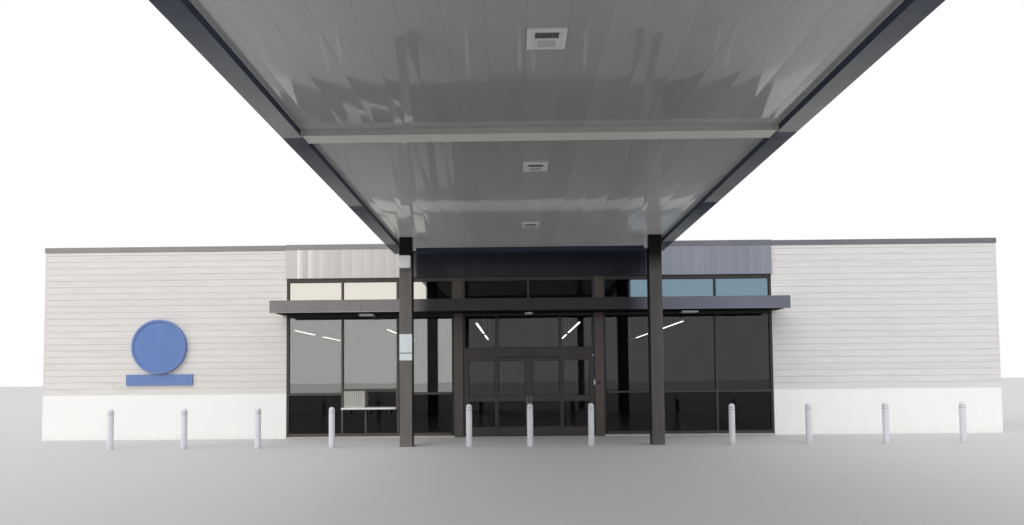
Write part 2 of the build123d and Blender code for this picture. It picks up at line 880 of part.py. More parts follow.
def build_canopy():
    """Columns, pans, trough, purlins, girders, fascias and lamps of the forecourt canopy."""
    save("canopy_columns", [forecourt_column(x, y) for x, y in column_places()])
    store_field = soffit_pans(trough_centre + trough_width / 2, canopy_store_end - fascia_return)
    street_field = soffit_pans(canopy_street_end + fascia_return, trough_centre - trough_width / 2)
    save("soffit_pans", store_field + street_field)
    save("gutter_trough", [gutter_trough()])
    save("canopy_purlins", purlins())
    save("canopy_girders", girders())
    sides, ends = fascias()
    save("canopy_fascia_sides", sides)
    save("canopy_fascia_ends", ends)
    save("canopy_lamps", canopy_lamps())
    save("speaker_box", [speaker_box()])
    save("column_plates", column_plates())
    save("bollards", bollard_row_pieces())


build_shell()
build_shopfront()
build_entrance()
build_canopy()
print(f"each leaf travels {leaf_travel:.0f} mm")
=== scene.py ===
"""The looks of a convenience store with a long forecourt canopy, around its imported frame, in metres."""

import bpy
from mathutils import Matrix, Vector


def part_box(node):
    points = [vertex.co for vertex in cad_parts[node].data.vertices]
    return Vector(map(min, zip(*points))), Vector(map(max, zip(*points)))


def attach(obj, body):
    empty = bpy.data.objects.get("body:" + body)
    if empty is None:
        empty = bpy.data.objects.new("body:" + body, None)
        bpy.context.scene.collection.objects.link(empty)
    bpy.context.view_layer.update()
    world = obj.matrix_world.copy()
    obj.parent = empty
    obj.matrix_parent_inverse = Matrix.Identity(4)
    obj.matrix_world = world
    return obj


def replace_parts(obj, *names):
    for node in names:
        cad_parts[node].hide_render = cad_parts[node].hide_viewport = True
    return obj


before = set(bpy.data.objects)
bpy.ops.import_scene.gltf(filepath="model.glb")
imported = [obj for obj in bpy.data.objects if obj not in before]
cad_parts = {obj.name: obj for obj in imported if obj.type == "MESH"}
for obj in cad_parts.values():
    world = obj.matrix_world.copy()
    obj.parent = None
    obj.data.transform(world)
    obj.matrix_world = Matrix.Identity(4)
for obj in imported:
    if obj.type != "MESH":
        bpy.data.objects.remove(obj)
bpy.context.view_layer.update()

import logging
import math
import random
from abc import ABC, abstractmethod
from collections.abc import Callable, Sequence
from dataclasses import dataclass, replace
from enum import Enum
from functools import reduce
from typing import Any

import bmesh
import bpy
from mathutils import Matrix, Vector

Pair = tuple[float, float]
Triple = tuple[float, float, float]
Colour = Triple
Outline = Sequence[Pair]
Socket = bpy.types.NodeSocket
Choice = Callable[[Vector, Vector], int]

# The middle of the entrance along X, and the Y of the shop front's face
MIDDLE = sum(corner.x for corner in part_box("door_header")) / 2
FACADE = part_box("entrance_posts")[0].y
# Half of the stretch along X over which a finish drifts to its right-hand colour, a painted change of light
LIGHT_DRIFT_HALF = 3.2
# The level on the doors and sidelites below which their glass is darker and mirrors less, a painted dimmer
# reflection
LOW_PANES = 1.05
# The width of a glazing gasket, and how far it stands off its pane
GASKET, GASKET_PROUD = 0.009, 0.004

log = logging.getLogger("store")


class Facing(Enum):
    """The side that a face looks to, as its outward and its left-to-right directions."""

    FRONT = ((0.0, -1.0, 0.0), (1.0, 0.0, 0.0))
    REAR = ((0.0, 1.0, 0.0), (-1.0, 0.0, 0.0))
    LEFT = ((-1.0, 0.0, 0.0), (0.0, -1.0, 0.0))
    RIGHT = ((1.0, 0.0, 0.0), (0.0, 1.0, 0.0))
    DOWN = ((0.0, 0.0, -1.0), (1.0, 0.0, 0.0))

    @property
    def out(self) -> Vector:
        """The outward direction."""
        return Vector(self.value[0])

    @property
    def across(self) -> Vector:
        """The direction from left to right, seen from outside."""
        return Vector(self.value[1])

    @property
    def up(self) -> Vector:
        """The third direction, upwards on a wall."""
        return self.across.cross(-self.out)

    def seen(self, normal: Vector) -> bool:
        """Whether a face with this normal looks to this side."""
        return normal.dot(self.out) > 0.5


@dataclass(frozen=True)
class Block:
    """An upright box, by its lowest and highest corners."""

    low: Vector
    high: Vector

    @property
    def centre(self) -> Vector:
        """The middle of the box."""
        return (self.low + self.high) / 2

    @property
    def size(self) -> Vector:
        """The box's three lengths."""
        return self.high - self.low


def block_of(node: str) -> Block:
    """The box of one CAD node."""
    return Block(*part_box(node))


def solids_of(node: str) -> list[Block]:
    """The box of each separate solid of a CAD node, sorted from left to right.

    Args:
        node: the node's name.

    Returns:
        One box for each solid.
    """
    mesh = bmesh.new()
    mesh.from_mesh(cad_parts[node].data)
    bmesh.ops.remove_doubles(mesh, verts=mesh.verts, dist=1e-5)
    waiting = set(mesh.verts)
    found = []
    while waiting:
        group = [waiting.pop()]
        for vertex in group:
            for edge in vertex.link_edges:
                other = edge.other_vert(vertex)
                if other in waiting:
                    waiting.discard(other)
                    group.append(other)
        spans = [[vertex.co[i] for vertex in group] for i in range(3)]
        found.append(Block(Vector([min(span) for span in spans]), Vector([max(span) for span in spans])))
    mesh.free()
    return sorted(found, key=lambda solid: tuple(round(place, 3) for place in solid.low))


def course_top() -> float:
    """The top of the base course: the lowest level above the ground with a corner of the front walls."""
    return min(vertex.co.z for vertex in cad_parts["front_walls"].data.vertices if vertex.co.z > 0.1)


def linked(name: str, data: bpy.types.ID) -> bpy.types.Object:
    """Put a new object into the scene.

    Args:
        name: the object's name.
        data: its mesh, lamp or camera.

    Returns:
        The object.
    """
    made = bpy.data.objects.new(name, data)
    bpy.context.scene.collection.objects.link(made)
    return made


def shade(colour: Colour, factor: float) -> Colour:
    """A lighter or darker colour, with no channel above 1."""
    return tuple(min(channel * factor, 1.0) for channel in colour)


class Graph:
    """The nodes around the shader of a material or of the sky, with short ways to add to them."""

    def __init__(self, owner: bpy.types.Material | bpy.types.World, shader: str = "Principled BSDF") -> None:
        """Start from the shader that a new material or world comes with.

        Args:
            owner: the material or world.
            shader: the shader's name.
        """
        owner.use_nodes = True
        self.tree = owner.node_tree
        self.shader = self.tree.nodes[shader]

    @property
    def base(self) -> Socket:
        """The output that feeds the shader's colour so far."""
        return self.shader.inputs["Base Color"].links[0].from_socket

    def feed(self, socket: Socket, value: Any) -> None:
        """Link a socket, or set its own number or colour.

        Args:
            socket: the input.
            value: another node's output, a number, or a colour of three or four channels.
        """
        if isinstance(value, bpy.types.NodeSocket):
            self.tree.links.new(value, socket)
        elif isinstance(value, tuple) and len(value) == 3 and socket.type == "RGBA":
            socket.default_value = (*value, 1.0)
        else:
            socket.default_value = value

    def add(self, kind: str, inputs: dict[str | int, Any] | None = None, **settings: Any) -> bpy.types.Node:
        """Add one node.

        Args:
            kind: the node's type.
            inputs: values or links by socket.
            settings: the node's own properties.

        Returns:
            The new node.
        """
        node = self.tree.nodes.new(kind)
        for key, value in settings.items():
            setattr(node, key, value)
        for key, value in (inputs or {}).items():
            self.feed(node.inputs[key], value)
        return node

    def set(self, **sockets: Any) -> None:
        """Set or link sockets of the shader, given with underscores for spaces."""
        for key, value in sockets.items():
            self.feed(self.shader.inputs[key.replace("_", " ")], value)

    def maths(self, operation: str, first: Any, second: Any = 0.0) -> Socket:
        """One step of arithmetic and its output."""
        return self.add("ShaderNodeMath", {0: first, 1: second}, operation=operation).outputs[0]

    def times(self, first: Any, *others: Any) -> Socket:
        """The product of several values."""
        return reduce(lambda value, other: self.maths("MULTIPLY", value, other), others, first)

    def blend(self, first: Socket, second: Socket, share: float) -> Socket:
        """The sum of two values, of which the first has this share and the second the rest."""
        return self.maths("ADD", self.times(first, share), self.times(second, 1.0 - share))

    def arch(self, offset: Socket) -> Socket:
        """A rounded hump: 1 in the middle of a cell, 0 at its edges."""
        return self.maths("SUBTRACT", 1.0, self.times(offset, offset, 4.0))

    def place(self, stretch: Triple = (1.0, 1.0, 1.0)) -> Socket:
        """Points of the piece in metres, each axis multiplied by stretch."""
        where = self.add("ShaderNodeTexCoord").outputs["Object"]
        return self.add("ShaderNodeMapping", {"Vector": where, "Scale": stretch}).outputs[0]

    def axis(self, letter: str) -> Socket:
        """One coordinate of the piece's points, in metres."""
        return self.add("ShaderNodeSeparateXYZ", {0: self.place()}).outputs[letter]

    def away(self, middle: float) -> Socket:
        """The distance along X from a middle."""
        return self.maths("ABSOLUTE", self.maths("SUBTRACT", self.axis("X"), middle))

    def noise(self, scale: float, stretch: Triple = (1.0, 1.0, 1.0), detail: float = 3.0) -> Socket:
        """Soft noise from 0 to 1, by its cells a metre, its density along each axis and its octaves."""
        inputs = {"Vector": self.place(stretch), "Scale": scale, "Detail": detail}
        return self.add("ShaderNodeTexNoise", inputs).outputs[0]

    def cells(self, length: float, letter: str, start: float = 0.0) -> Socket:
        """A whole number for each cell along one axis."""
        along = self.maths("SUBTRACT", self.axis(letter), start)
        return self.maths("FLOOR", self.maths("DIVIDE", along, length))

    def within(self, length: float, letter: str, start: float = 0.0) -> Socket:
        """How far into its cell a point is along one axis, from -0.5 to 0.5."""
        along = self.maths("DIVIDE", self.maths("SUBTRACT", self.axis(letter), start), length)
        return self.maths("SUBTRACT", self.maths("FRACT", along), 0.5)

    def chance(self, number: Socket) -> Socket:
        """A random value from 0 to 1 for each whole number."""
        return self.add("ShaderNodeTexWhiteNoise", {"W": number}, noise_dimensions="1D").outputs["Value"]

    def spread(self, value: Socket, low: float, high: float, first: float = 0.0, last: float = 1.0) -> Socket:
        """Map a value from low..high to first..last, held at both ends."""
        inputs = {"Value": value, "From Min": low, "From Max": high, "To Min": first, "To Max": last}
        return self.add("ShaderNodeMapRange", inputs).outputs[0]

    def mix(self, factor: Any, first: Any, second: Any, kind: str = "MIX") -> Socket:
        """Blend two colours, or multiply them."""
        inputs = {0: factor, 6: first, 7: second}
        return self.add("ShaderNodeMix", inputs, data_type="RGBA", blend_type=kind).outputs[2]

    def tones(self, value: Socket, colour: Colour, dark: float, light: float,
              low: float = 0.3, high: float = 0.7) -> Socket:
        """A colour from a darker to a lighter shade of itself, as a value rises from low to high."""
        return self.mix(self.spread(value, low, high), shade(colour, dark), shade(colour, light))

    def canopy_darkening(self, middle: float, half: float, soft: float) -> Socket:
        """How far a point takes the canopy's painted shade and dark reflection: 1 within half of the middle
        along X, 0 beyond, over a soft edge.
        """
        return self.spread(self.away(middle), half - soft, half + soft, 1.0, 0.0)

    def relief(self, height: Socket, distance: float) -> None:
        """Bump the surface by a height of 0 to 1 times a distance in metres."""
        inputs = {"Height": height, "Distance": distance, "Strength": 1.0}
        self.set(Normal=self.add("ShaderNodeBump", inputs).outputs[0])

    def grain(self, scale: float, depth: float, detail: float = 2.0) -> None:
        """Bump the surface by fine noise of a depth in metres."""
        self.relief(self.noise(scale, detail=detail), depth)


@dataclass(frozen=True)
class Finish(ABC):
    """A surface that a maker would order by name."""

    name: str  # The finish's name
    colour: Colour  # Its linear colour, at the left of the store
    roughness: float = 0.5  # How matt it is, from 0 to 1
    gloss: float = 0.5  # How much it mirrors, where 0.5 is plain plastic
    right: Colour | None = None  # The colour that it drifts to at the right of the store, painted for the cooler light and blue sky reflection there, if that differs

    @abstractmethod
    def dress(self, graph: Graph) -> None:
        """Add this finish's nodes.

        Args:
            graph: the material's nodes.
        """

    def wear(self, graph: Graph, value: Socket, less: float, more: float,
             low: float = 0.3, high: float = 0.7) -> None:
        """Let the roughness run from a little less to a little more than its own, as a value rises."""
        graph.set(Roughness=graph.spread(value, low, high, self.roughness - less, self.roughness + more))

    def material(self) -> bpy.types.Material:
        """Make the material, or find it where it is made already.

        Returns:
            The material.
        """
        title = f"{self.name}_finish"
        found = bpy.data.materials.get(title)
        if found:
            return found
        made = bpy.data.materials.new(title)
        graph = Graph(made)
        graph.set(Roughness=self.roughness, Base_Color=self.colour, Specular_IOR_Level=self.gloss)
        self.dress(graph)
        # Painted light: the colour drifts along X to the right-hand one, for warmer, brighter light at the
        # left and cooler light with blue sky mirrored at the right
        if self.right:
            side_light_ratio = tuple(there / here for there, here in zip(self.right, self.colour))
            side_light_tint = graph.mix(graph.spread(graph.axis("X"), -LIGHT_DRIFT_HALF, LIGHT_DRIFT_HALF), (1.0, 1.0, 1.0), side_light_ratio)
            graph.set(Base_Color=graph.mix(1.0, graph.base, side_light_tint, "MULTIPLY"))
        return made


@dataclass(frozen=True)
class Paint(Finish):
    """Paint or powder coat on metal, with slow drifts of tone, rain streaks and a fine orange peel."""

    metallic: float = 0.0  # 1 for bare or metallic-painted metal
    drift: float = 0.08  # The share by which the tone wanders
    coat: float = 0.0  # The weight of a clear coat

    def dress(self, graph: Graph) -> None:
        """Add the drift, the streaks and the peel.

        Args:
            graph: the material's nodes.
        """
        graph.set(Metallic=self.metallic, Coat_Weight=self.coat, Coat_Roughness=0.08)
        streaks = graph.noise(5.0, (1.0, 1.0, 0.12), 5.0)
        tone = graph.blend(graph.noise(0.9, detail=4.0), streaks, 0.6)
        graph.set(Base_Color=graph.tones(tone, self.colour, 1 - 2 * self.drift, 1 + 2 * self.drift))
        self.wear(graph, streaks, 0.05, 0.07)
        graph.grain(160.0, 0.00006)


@dataclass(frozen=True)
class FrameCoat(Paint):
    """The coat of the shopfront's frames, with painted shadow under the eyebrow and beside the two wide posts.
    """

    head: float = 3.27  # The height at which the painted shadow starts
    # The stretch beside each post that takes the painted shadow, as distances from the entrance's middle
    flank: Pair = (2.06, 2.16)
    painted_shadow: Colour = (0.010, 0.009, 0.009)  # The colour of the painted shadow

    def dress(self, graph: Graph) -> None:
        """Add the coat, then the painted shadow over it.

        Args:
            graph: the material's nodes.
        """
        super().dress(graph)
        # Painted shadow under the eyebrow and beside the posts
        away = graph.away(MIDDLE)
        start, stop = self.flank
        after = graph.spread(away, start - 0.01, start)
        before = graph.spread(away, stop, stop + 0.01, 1.0, 0.0)
        above = graph.spread(graph.axis("Z"), self.head, self.head + 0.05)
        in_painted_shadow = graph.maths("MAXIMUM", graph.times(after, before), above)
        graph.set(Base_Color=graph.mix(in_painted_shadow, graph.base, self.painted_shadow))


@dataclass(frozen=True)
class FasciaCoat(Paint):
    """The coat of the canopy's long fascias, under a pale film that thickens along each length of sheet."""

    sheet: float = 3.66  # The length of a sheet along Y
    start: float = 0.0  # Where a sheet starts
    pale_film: Colour = (0.55, 0.55, 0.53)  # The colour of the film

    def dress(self, graph: Graph) -> None:
        """Add the coat, then the film over it.

        Args:
            graph: the material's nodes.
        """
        super().dress(graph)
        along = graph.spread(graph.within(self.sheet, "Y", self.start), -0.45, 0.45)
        own = graph.spread(graph.chance(graph.cells(self.sheet, "Y", self.start)), 0.0, 1.0, 0.55, 0.85)
        patches = graph.spread(graph.noise(0.7), 0.3, 0.6, 0.7, 1.0)
        graph.set(Base_Color=graph.mix(graph.times(along, own, patches), graph.base, self.pale_film))


@dataclass(frozen=True)
class CanopyShadedPaint(Finish):
    """Dark coil-coated metal, its own colour in the open, with painted shade where the canopy covers it."""

    canopy_shaded: Colour = (0.03, 0.03, 0.03)  # The colour where the canopy covers it, painted shade
    half: float = 3.2  # Half the length of the painted-shade stretch, from the entrance's middle

    def dress(self, graph: Graph) -> None:
        """Add the open and the painted-shade stretches, drifts and streaks.

        Args:
            graph: the material's nodes.
        """
        drift = graph.noise(1.1, (1.0, 1.0, 0.5), 4.0)
        unshaded = graph.tones(drift, self.colour, 0.9, 1.1)
        canopy_shaded = graph.tones(drift, self.canopy_shaded, 0.85, 1.15)
        # Painted shade: a dark copy of the colour where the canopy covers the metal
        graph.set(Base_Color=graph.mix(graph.canopy_darkening(MIDDLE, self.half, 0.3), unshaded, canopy_shaded), Metallic=0.2)
        self.wear(graph, drift, 0.05, 0.08)
        graph.grain(150.0, 0.00006)


@dataclass(frozen=True)
class ShadedColumn(Finish):
    """Column paint with painted shade near the soffit and dust at its foot."""

    top: float = 5.0  # The height of the soffit
    top_shade: float = 0.9  # How far down the painted shade reaches
    pale_film: Colour = (0.30, 0.28, 0.25)  # The colour of the dust

    def dress(self, graph: Graph) -> None:
        """Add the painted shade, the dust, rain streaks and the orange peel.

        Args:
            graph: the material's nodes.
        """
        streaks = graph.noise(6.0, (1.0, 1.0, 0.1), 5.0)
        height = graph.axis("Z")
        # Painted shade: the column darkens towards the soffit
        top_shade = graph.spread(height, self.top - self.top_shade, self.top - self.top_shade / 2)
        shaded_body = graph.mix(top_shade, graph.tones(streaks, self.colour, 0.85, 1.12), shade(self.colour, 0.05))
        dusty = graph.times(graph.spread(height, 0.0, 0.35, 0.5, 0.0), streaks)
        graph.set(Base_Color=graph.mix(dusty, shaded_body, self.pale_film))
        self.wear(graph, streaks, 0.05, 0.08)
        graph.grain(160.0, 0.00006)


@dataclass(frozen=True)
class CladPlank(Finish):
    """A pale fibre cement plank with a brushed, faintly layered face and a tone of its own."""

    def dress(self, graph: Graph) -> None:
        """Add each plank's tone, the layers along it and its grain.

        Args:
            graph: the material's nodes.
        """
        tone = graph.add("ShaderNodeAttribute", attribute_name="tone").outputs["Fac"]
        layers = graph.noise(2.2, (0.45, 0.45, 18.0), 5.0)
        smears = graph.noise(1.0, (1.1, 1.1, 11.0), 3.0)
        speckle = graph.noise(60.0, detail=4.0)
        own = graph.tones(tone, self.colour, 0.965, 1.02, 0.0, 1.0)
        layered = graph.mix(graph.spread(layers, 0.4, 0.72), own, shade(self.colour, 0.93))
        smeared = graph.mix(graph.spread(smears, 0.56, 0.74, 0.0, 0.65), layered, shade(self.colour, 0.84))
        between = graph.spread(speckle, 0.25, 0.45, 0.7, 1.0)
        graph.set(Base_Color=graph.mix(between, shade(self.colour, 0.85), smeared))
        graph.relief(graph.blend(layers, speckle, 0.8), 0.0022)


@dataclass(frozen=True)
class BaseCourse(Finish):
    """Smooth white panels at the foot of the walls, with tight upright joints and a little splash."""

    panel: float = 2.44  # The length of a panel along the wall
    soil: Colour = (0.42, 0.38, 0.33)  # The colour of the splash and of the joints

    def dress(self, graph: Graph) -> None:
        """Add the mottle, the joints and the splash line.

        Args:
            graph: the material's nodes.
        """
        mottle = graph.noise(1.6, detail=5.0)
        splash = graph.spread(graph.axis("Z"), 0.0, 0.22, 0.16, 0.0)
        dirt = graph.times(splash, graph.spread(graph.noise(9.0, (1.0, 1.0, 0.5), 5.0), 0.3, 0.7))
        along = graph.maths("ADD", graph.within(self.panel, "X"), graph.within(self.panel, "Y"))
        joint = graph.spread(graph.maths("ABSOLUTE", along), 0.0, 0.0016, 0.25, 0.0)
        body = graph.tones(mottle, self.colour, 0.975, 1.0)
        graph.set(Base_Color=graph.mix(graph.maths("ADD", dirt, joint), body, self.soil))
        self.wear(graph, mottle, 0.1, 0.08)
        graph.grain(24.0, 0.0006, 5.0)


@dataclass(frozen=True)
class FlushPanel(Finish):
    """Flush metal panels that each bow a little and have a tone of their own, with a painted highlight at some
    panels' left edges.
    """

    width: float = 0.305  # The width of a panel
    start: float = 0.0  # Where the first panel's edge is along X
    bow: float = 0.0006  # How far a panel's middle stands out
    canopy_shaded: Colour = (0.05, 0.05, 0.06)  # The colour of the panels under the canopy, painted shade and dark reflection
    middle: float = MIDDLE + 0.085  # The middle of the stretch of painted shade along X
    half: float = 3.285  # Half of its length

    def dress(self, graph: Graph) -> None:
        """Add each panel's tone and painted highlight, its bow and the stretch of painted shade and dark
        reflection under the canopy.

        Args:
            graph: the material's nodes.
        """
        cell = graph.cells(self.width, "X", self.start)
        offset = graph.within(self.width, "X", self.start)
        own = graph.chance(cell)
        tone = graph.blend(own, graph.noise(1.5, (1.0, 1.0, 0.3), 2.0), 0.6)
        unshaded = graph.tones(tone, self.colour, 0.9, 1.06, 0.0, 1.0)
        canopy_shaded = graph.tones(tone, self.canopy_shaded, 0.85, 1.15, 0.0, 1.0)
        # Painted highlight: a lighter strip at the left edge of the first few panels
        painted_glint = graph.times(graph.spread(cell, 0.9, 3.5, 0.85, 0.12), graph.spread(cell, 0.4, 0.6))
        lit = graph.times(graph.spread(offset, -0.49, 0.1, 1.0, 0.0), painted_glint)
        highlighted = graph.mix(lit, unshaded, shade(self.colour, 1.6))
        cover = graph.canopy_darkening(self.middle, self.half, 0.14)
        # Painted shade and dark reflection where the canopy covers the panels
        graph.set(Base_Color=graph.mix(cover, highlighted, canopy_shaded), Metallic=0.75)
        graph.relief(graph.times(graph.arch(offset), graph.spread(own, 0.0, 1.0, 0.4, 1.4)), self.bow)


@dataclass(frozen=True)
class PanEnamel(Finish):
    """Glossy enamel on the soffit's pans, each of which hangs in a shallow belly between its seams."""

    width: float = 0.4064  # The width of a pan
    start: float = 0.0  # Where the first pan's edge is along X
    belly: float = 0.0034  # How far a pan's middle hangs below its edges
    # How much the painted bounce light lifts the pans' colour at the store end, and at both sides
    bounce_gain: Pair = (2.1, 1.25)
    bounce_run: Pair = (-7.4, 0.1)  # The stretch along Y over which the painted bounce light grows

    def dress(self, graph: Graph) -> None:
        """Add the belly of each pan, its unevenness along the run, dust, and painted light that lifts the
        colour towards the store end and the sides.

        Args:
            graph: the material's nodes.
        """
        cell = graph.cells(self.width, "X", self.start)
        own = graph.chance(cell)
        tone = graph.blend(own, graph.noise(0.8, (1.0, 0.4, 1.0), 4.0), 0.35)
        # Painted bounce light: paler towards the store end and the sides
        end, sides = self.bounce_gain
        along = graph.spread(graph.axis("Y"), *self.bounce_run, 1.0, end)
        bounce = graph.times(along, graph.spread(graph.away(MIDDLE), 1.2, 3.3, 1.0, sides))
        bounce_light = graph.add("ShaderNodeCombineColor", {"Red": bounce, "Green": bounce, "Blue": bounce}).outputs[0]
        body = graph.tones(tone, self.colour, 0.92, 1.08, 0.2, 0.8)
        graph.set(Base_Color=graph.mix(1.0, body, bounce_light, "MULTIPLY"), IOR=1.8)
        self.wear(graph, graph.noise(3.0, (4.0, 0.5, 1.0), 4.0), 0.0, 0.05, 0.4, 0.75)
        hang = graph.arch(graph.within(self.width, "X", self.start))
        run = {"X": graph.times(cell, 7.3), "Y": graph.axis("Y"), "Z": 0.0}
        wander = graph.add("ShaderNodeCombineXYZ", run).outputs[0]
        wave = graph.add("ShaderNodeTexNoise", {"Vector": wander, "Scale": 0.9, "Detail": 1.0}).outputs[0]
        uneven = graph.times(hang, graph.spread(own, 0.0, 1.0, 0.7, 1.25))
        graph.relief(graph.maths("ADD", uneven, graph.times(wave, 1.1)), self.belly)


@dataclass(frozen=True)
class Glazing(Finish):
    """Glass, coated or clear, with the faint roller wave of a tempered pane."""

    index: float = 1.5  # Refraction, which also sets how much it mirrors
    clear: float = 1.0  # 1 for see-through glass, 0 for a mirror coat
    metallic: float = 0.0  # The weight of a mirror coat
    wave: float = 0.0004  # The height of the roller wave in metres
    dark: float = 0.0  # Half the stretch about the entrance's middle where the coat is darker as a painted reflection of the canopy's underside, 0 for none

    def dress(self, graph: Graph) -> None:
        """Add the coat, the painted dark reflection, the wave and faint wiping marks.

        Args:
            graph: the material's nodes.
        """
        graph.set(Transmission_Weight=self.clear, Metallic=self.metallic, IOR=self.index)
        # Painted reflection: darker in the middle, where the panes mirror the canopy's underside
        if self.dark:
            cover = graph.canopy_darkening(MIDDLE, self.dark, 0.03)
            graph.set(Base_Color=graph.mix(cover, self.colour, shade(self.colour, 0.03)))
        self.wear(graph, graph.noise(3.0, (1.0, 1.0, 2.5), 4.0), 0.0, 0.035, 0.55, 0.8)
        graph.relief(graph.noise(1.1, (1.0, 1.0, 1.6), 1.0), self.wave)


@dataclass(frozen=True)
class Grit(Finish):
    """Cast or trowelled stone: concrete with pores and stains."""

    pore: float = 45.0  # How many pores there are a metre
    depth: float = 0.0012  # How deep they are

    def dress(self, graph: Graph) -> None:
        """Add stains, aggregate and pores.

        Args:
            graph: the material's nodes.
        """
        body = graph.tones(graph.noise(2.5, detail=6.0), self.colour, 0.8, 1.1)
        grains = graph.spread(graph.noise(self.pore * 3, detail=3.0), 0.3, 0.7, 0.75, 1.0)
        graph.set(Base_Color=graph.mix(grains, shade(self.colour, 0.55), body))
        pores = graph.add("ShaderNodeTexVoronoi", {"Vector": graph.place(), "Scale": self.pore})
        graph.relief(graph.spread(pores.outputs["Distance"], 0.0, 0.25), self.depth)


@dataclass(frozen=True)
class Membrane(Finish):
    """Rolled roofing with welded seams, which dirt follows."""

    roll: float = 1.9  # The width of a roll

    def dress(self, graph: Graph) -> None:
        """Add the seams, water marks and wrinkles.

        Args:
            graph: the material's nodes.
        """
        seam = graph.spread(graph.maths("ABSOLUTE", graph.within(self.roll, "X")), 0.0, 0.03, 1.0, 0.0)
        marks = graph.spread(graph.noise(1.3, (1.0, 0.35, 1.0), 5.0), 0.4, 0.75)
        body = graph.mix(graph.times(marks, 0.35), self.colour, shade(self.colour, 0.72))
        graph.set(Base_Color=graph.mix(graph.times(seam, 0.35), body, shade(self.colour, 0.6)))
        graph.relief(graph.maths("ADD", seam, graph.noise(6.0, (1.0, 0.5, 1.0), 4.0)), 0.002)


@dataclass(frozen=True)
class FloorTile(Finish):
    """Large square tiles with narrow joints."""

    side: float = 0.6  # The length of a tile
    joint: float = 0.006  # The width of a joint

    def dress(self, graph: Graph) -> None:
        """Add the tiles, each with its own tone, and the joints.

        Args:
            graph: the material's nodes.
        """
        inputs = {
            "Vector": graph.place(), "Scale": 1.0, "Mortar Size": self.joint, "Brick Width": self.side,
            "Row Height": self.side, "Color1": shade(self.colour, 0.92), "Color2": shade(self.colour, 1.08),
            "Mortar": shade(self.colour, 0.5),
        }
        tiles = graph.add("ShaderNodeTexBrick", inputs, offset=0.0)
        graph.set(Base_Color=tiles.outputs["Color"])
        self.wear(graph, graph.noise(4.0, detail=4.0), 0.0, 0.2)
        graph.relief(graph.maths("SUBTRACT", 1.0, tiles.outputs["Fac"]), 0.001)


@dataclass(frozen=True)
class InnerWall(Finish):
    """The inner side of an outer wall: painted below the roof, roofing felt on the parapet above it."""

    felt: Colour = (0.5, 0.5, 0.49)  # The colour above the roof
    roof: float = 4.8  # The height of the roof

    def dress(self, graph: Graph) -> None:
        """Add the change of colour at the roof and a light roller texture.

        Args:
            graph: the material's nodes.
        """
        mottle = graph.noise(2.0, detail=5.0)
        paint = graph.tones(mottle, self.colour, 0.9, 1.1)
        above = graph.spread(graph.axis("Z"), self.roof, self.roof + 0.02)
        graph.set(Base_Color=graph.mix(above, paint, graph.tones(mottle, self.felt, 0.85, 1.0)))
        graph.grain(90.0, 0.0005, 3.0)


@dataclass(frozen=True)
class Moulded(Finish):
    """Moulded or extruded plastic with a fine grain, and scuffs low down."""

    scuff: float = 0.0  # The height up to which it is scuffed, 0 for none
    coat: float = 0.0  # The weight of a gloss on top

    def dress(self, graph: Graph) -> None:
        """Add the grain, faint runs and the scuffs.

        Args:
            graph: the material's nodes.
        """
        runs = graph.noise(14.0, (1.0, 1.0, 0.15), 4.0)
        graph.set(Coat_Weight=self.coat, Base_Color=graph.tones(runs, self.colour, 0.93, 1.02))
        if self.scuff:
            low = graph.spread(graph.axis("Z"), 0.0, self.scuff, 0.5, 0.0)
            marks = graph.times(low, graph.spread(graph.noise(20.0, (1.0, 1.0, 0.4), 6.0), 0.45, 0.65))
            graph.set(Base_Color=graph.mix(marks, graph.base, shade(self.colour, 0.45)))
        self.wear(graph, runs, 0.04, 0.08)
        graph.grain(220.0, 0.0001)


@dataclass(frozen=True)
class Glow(Finish):
    """A lit diffuser with faint prisms."""

    power: float = 1.0  # The strength of its light

    def dress(self, graph: Graph) -> None:
        """Add the light and the diffuser's prisms.

        Args:
            graph: the material's nodes.
        """
        prisms = graph.noise(120.0, detail=1.0)
        strength = graph.spread(prisms, 0.2, 0.8, self.power * 0.9, self.power * 1.1)
        graph.set(Emission_Color=self.colour, Emission_Strength=strength)
        graph.relief(prisms, 0.0004)


@dataclass(frozen=True)
class Brushed(Finish):
    """Mill-finished metal, brushed along X."""

    def dress(self, graph: Graph) -> None:
        """Add the brushing and dull patches.

        Args:
            graph: the material's nodes.
        """
        lines = graph.noise(9.0, (1.0, 40.0, 40.0), 4.0)
        graph.set(Metallic=1.0, Base_Color=graph.tones(lines, self.colour, 0.8, 1.15, 0.0, 1.0))
        self.wear(graph, graph.noise(2.0, detail=4.0), 0.08, 0.12)
        graph.relief(lines, 0.00025)


